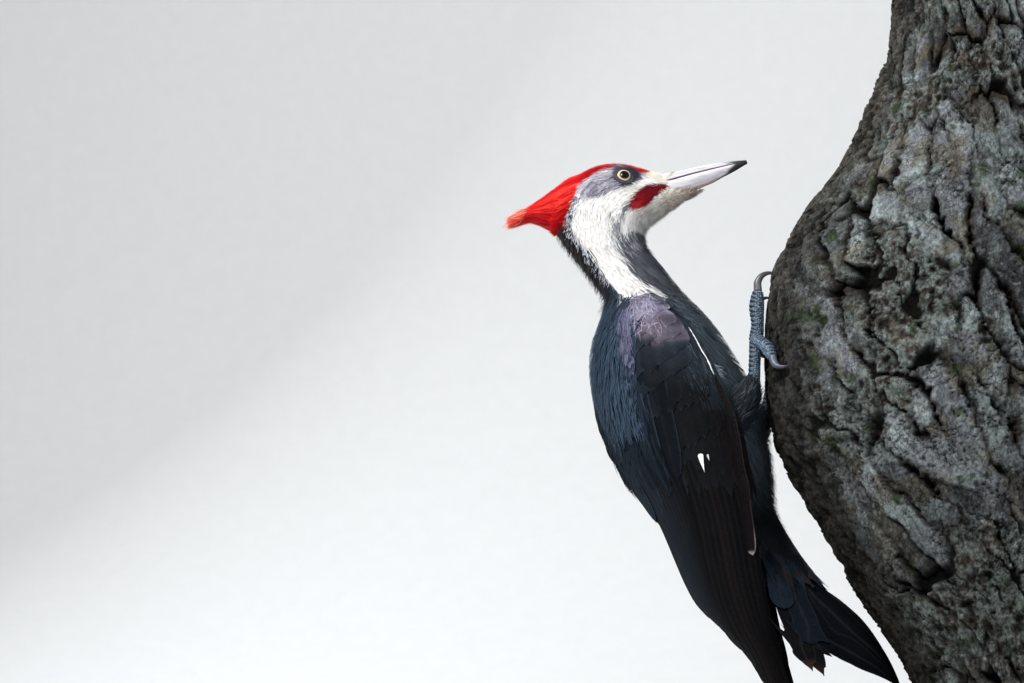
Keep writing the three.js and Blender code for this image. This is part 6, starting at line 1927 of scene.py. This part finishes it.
# ------------------------------------------------------------------ stage and light
floor_mat, nt, b = material("studio_floor", 0.85, 0.2)
nz = node(nt, "ShaderNodeTexNoise", in_Scale=60.0, in_Detail=4.0)
tc = node(nt, "ShaderNodeTexCoord")
link(nt, tc.outputs["Object"], nz.inputs["Vector"])
cr = node(nt, "ShaderNodeValToRGB")
cr.color_ramp.elements[0].color = (0.60, 0.605, 0.61, 1)
cr.color_ramp.elements[1].color = (0.64, 0.645, 0.65, 1)
link(nt, nz.outputs["Fac"], cr.inputs["Fac"])
link(nt, cr.outputs["Color"], b.inputs["Base Color"])
# the sweep has a face on its inner side only, so that it hides nothing from behind
geo = node(nt, "ShaderNodeNewGeometry")
clear = node(nt, "ShaderNodeBsdfTransparent")
one = node(nt, "ShaderNodeMixShader")
link(nt, geo.outputs["Backfacing"], one.inputs[0])
link(nt, b.outputs[0], one.inputs[1])
link(nt, clear.outputs[0], one.inputs[2])
link(nt, one.outputs[0], nt.nodes["Material Output"].inputs["Surface"])
# a sweep: floor, a round cove, and a wall behind
ys = np.concatenate([np.linspace(-3000, 900, 24), 900 + 700 * np.sin(np.linspace(0, math.pi / 2, 20))[1:], np.full(8, 1600.0)])
zs = np.concatenate([np.zeros(24), 700 - 700 * np.cos(np.linspace(0, math.pi / 2, 20))[1:], np.linspace(900, 4200, 8)])
xs = np.linspace(-3600, 3600, 30)
g = np.stack([xs[None] + 0 * ys[:, None], ys[:, None] + 0 * xs[None], zs[:, None] + 0 * xs[None]], -1)
ob = mesh("studio_sweep", g.reshape(-1, 3), grid_faces(1, len(ys), len(xs)))
ob.data.materials.append(floor_mat)


def area(name, at, to, size, power, colour=(1, 1, 1), glossy=True):
    l = bpy.data.lights.new(name, "AREA")
    l.shape, l.size, l.energy, l.color = "DISK", size, power, colour
    ob = bpy.data.objects.new(name, l)
    bpy.context.scene.collection.objects.link(ob)
    ob.location = at
    ob.rotation_euler = (Vector(to) - Vector(at)).to_track_quat("-Z", "Y").to_euler()
    ob.visible_glossy = glossy


area("key", (-1.0, -1.3, 1.6), (-0.19, 0, 0.3), 0.8, 46, (1.0, 0.98, 0.95))
area("fill", (1.1, -1.5, 0.7), (-0.1, 0, 0.28), 1.2, 7, (0.94, 0.97, 1.0), False)
area("top", (-0.1, 0.2, 2.0), (-0.15, 0, 0.3), 1.2, 20, (0.97, 0.99, 1.0), False)
area("back", (-1.1, 1.0, 1.0), (-0.19, 0, 0.3), 0.9, 12, (0.95, 0.98, 1.0), False)
world = bpy.data.worlds.new("studio")
bpy.context.scene.world = world
world.use_nodes = True
world.node_tree.nodes["Background"].inputs["Color"].default_value = (0.86, 0.9, 0.96, 1)
world.node_tree.nodes["Background"].inputs["Strength"].default_value = 0.33
bpy.context.scene.view_settings.view_transform = "Standard"
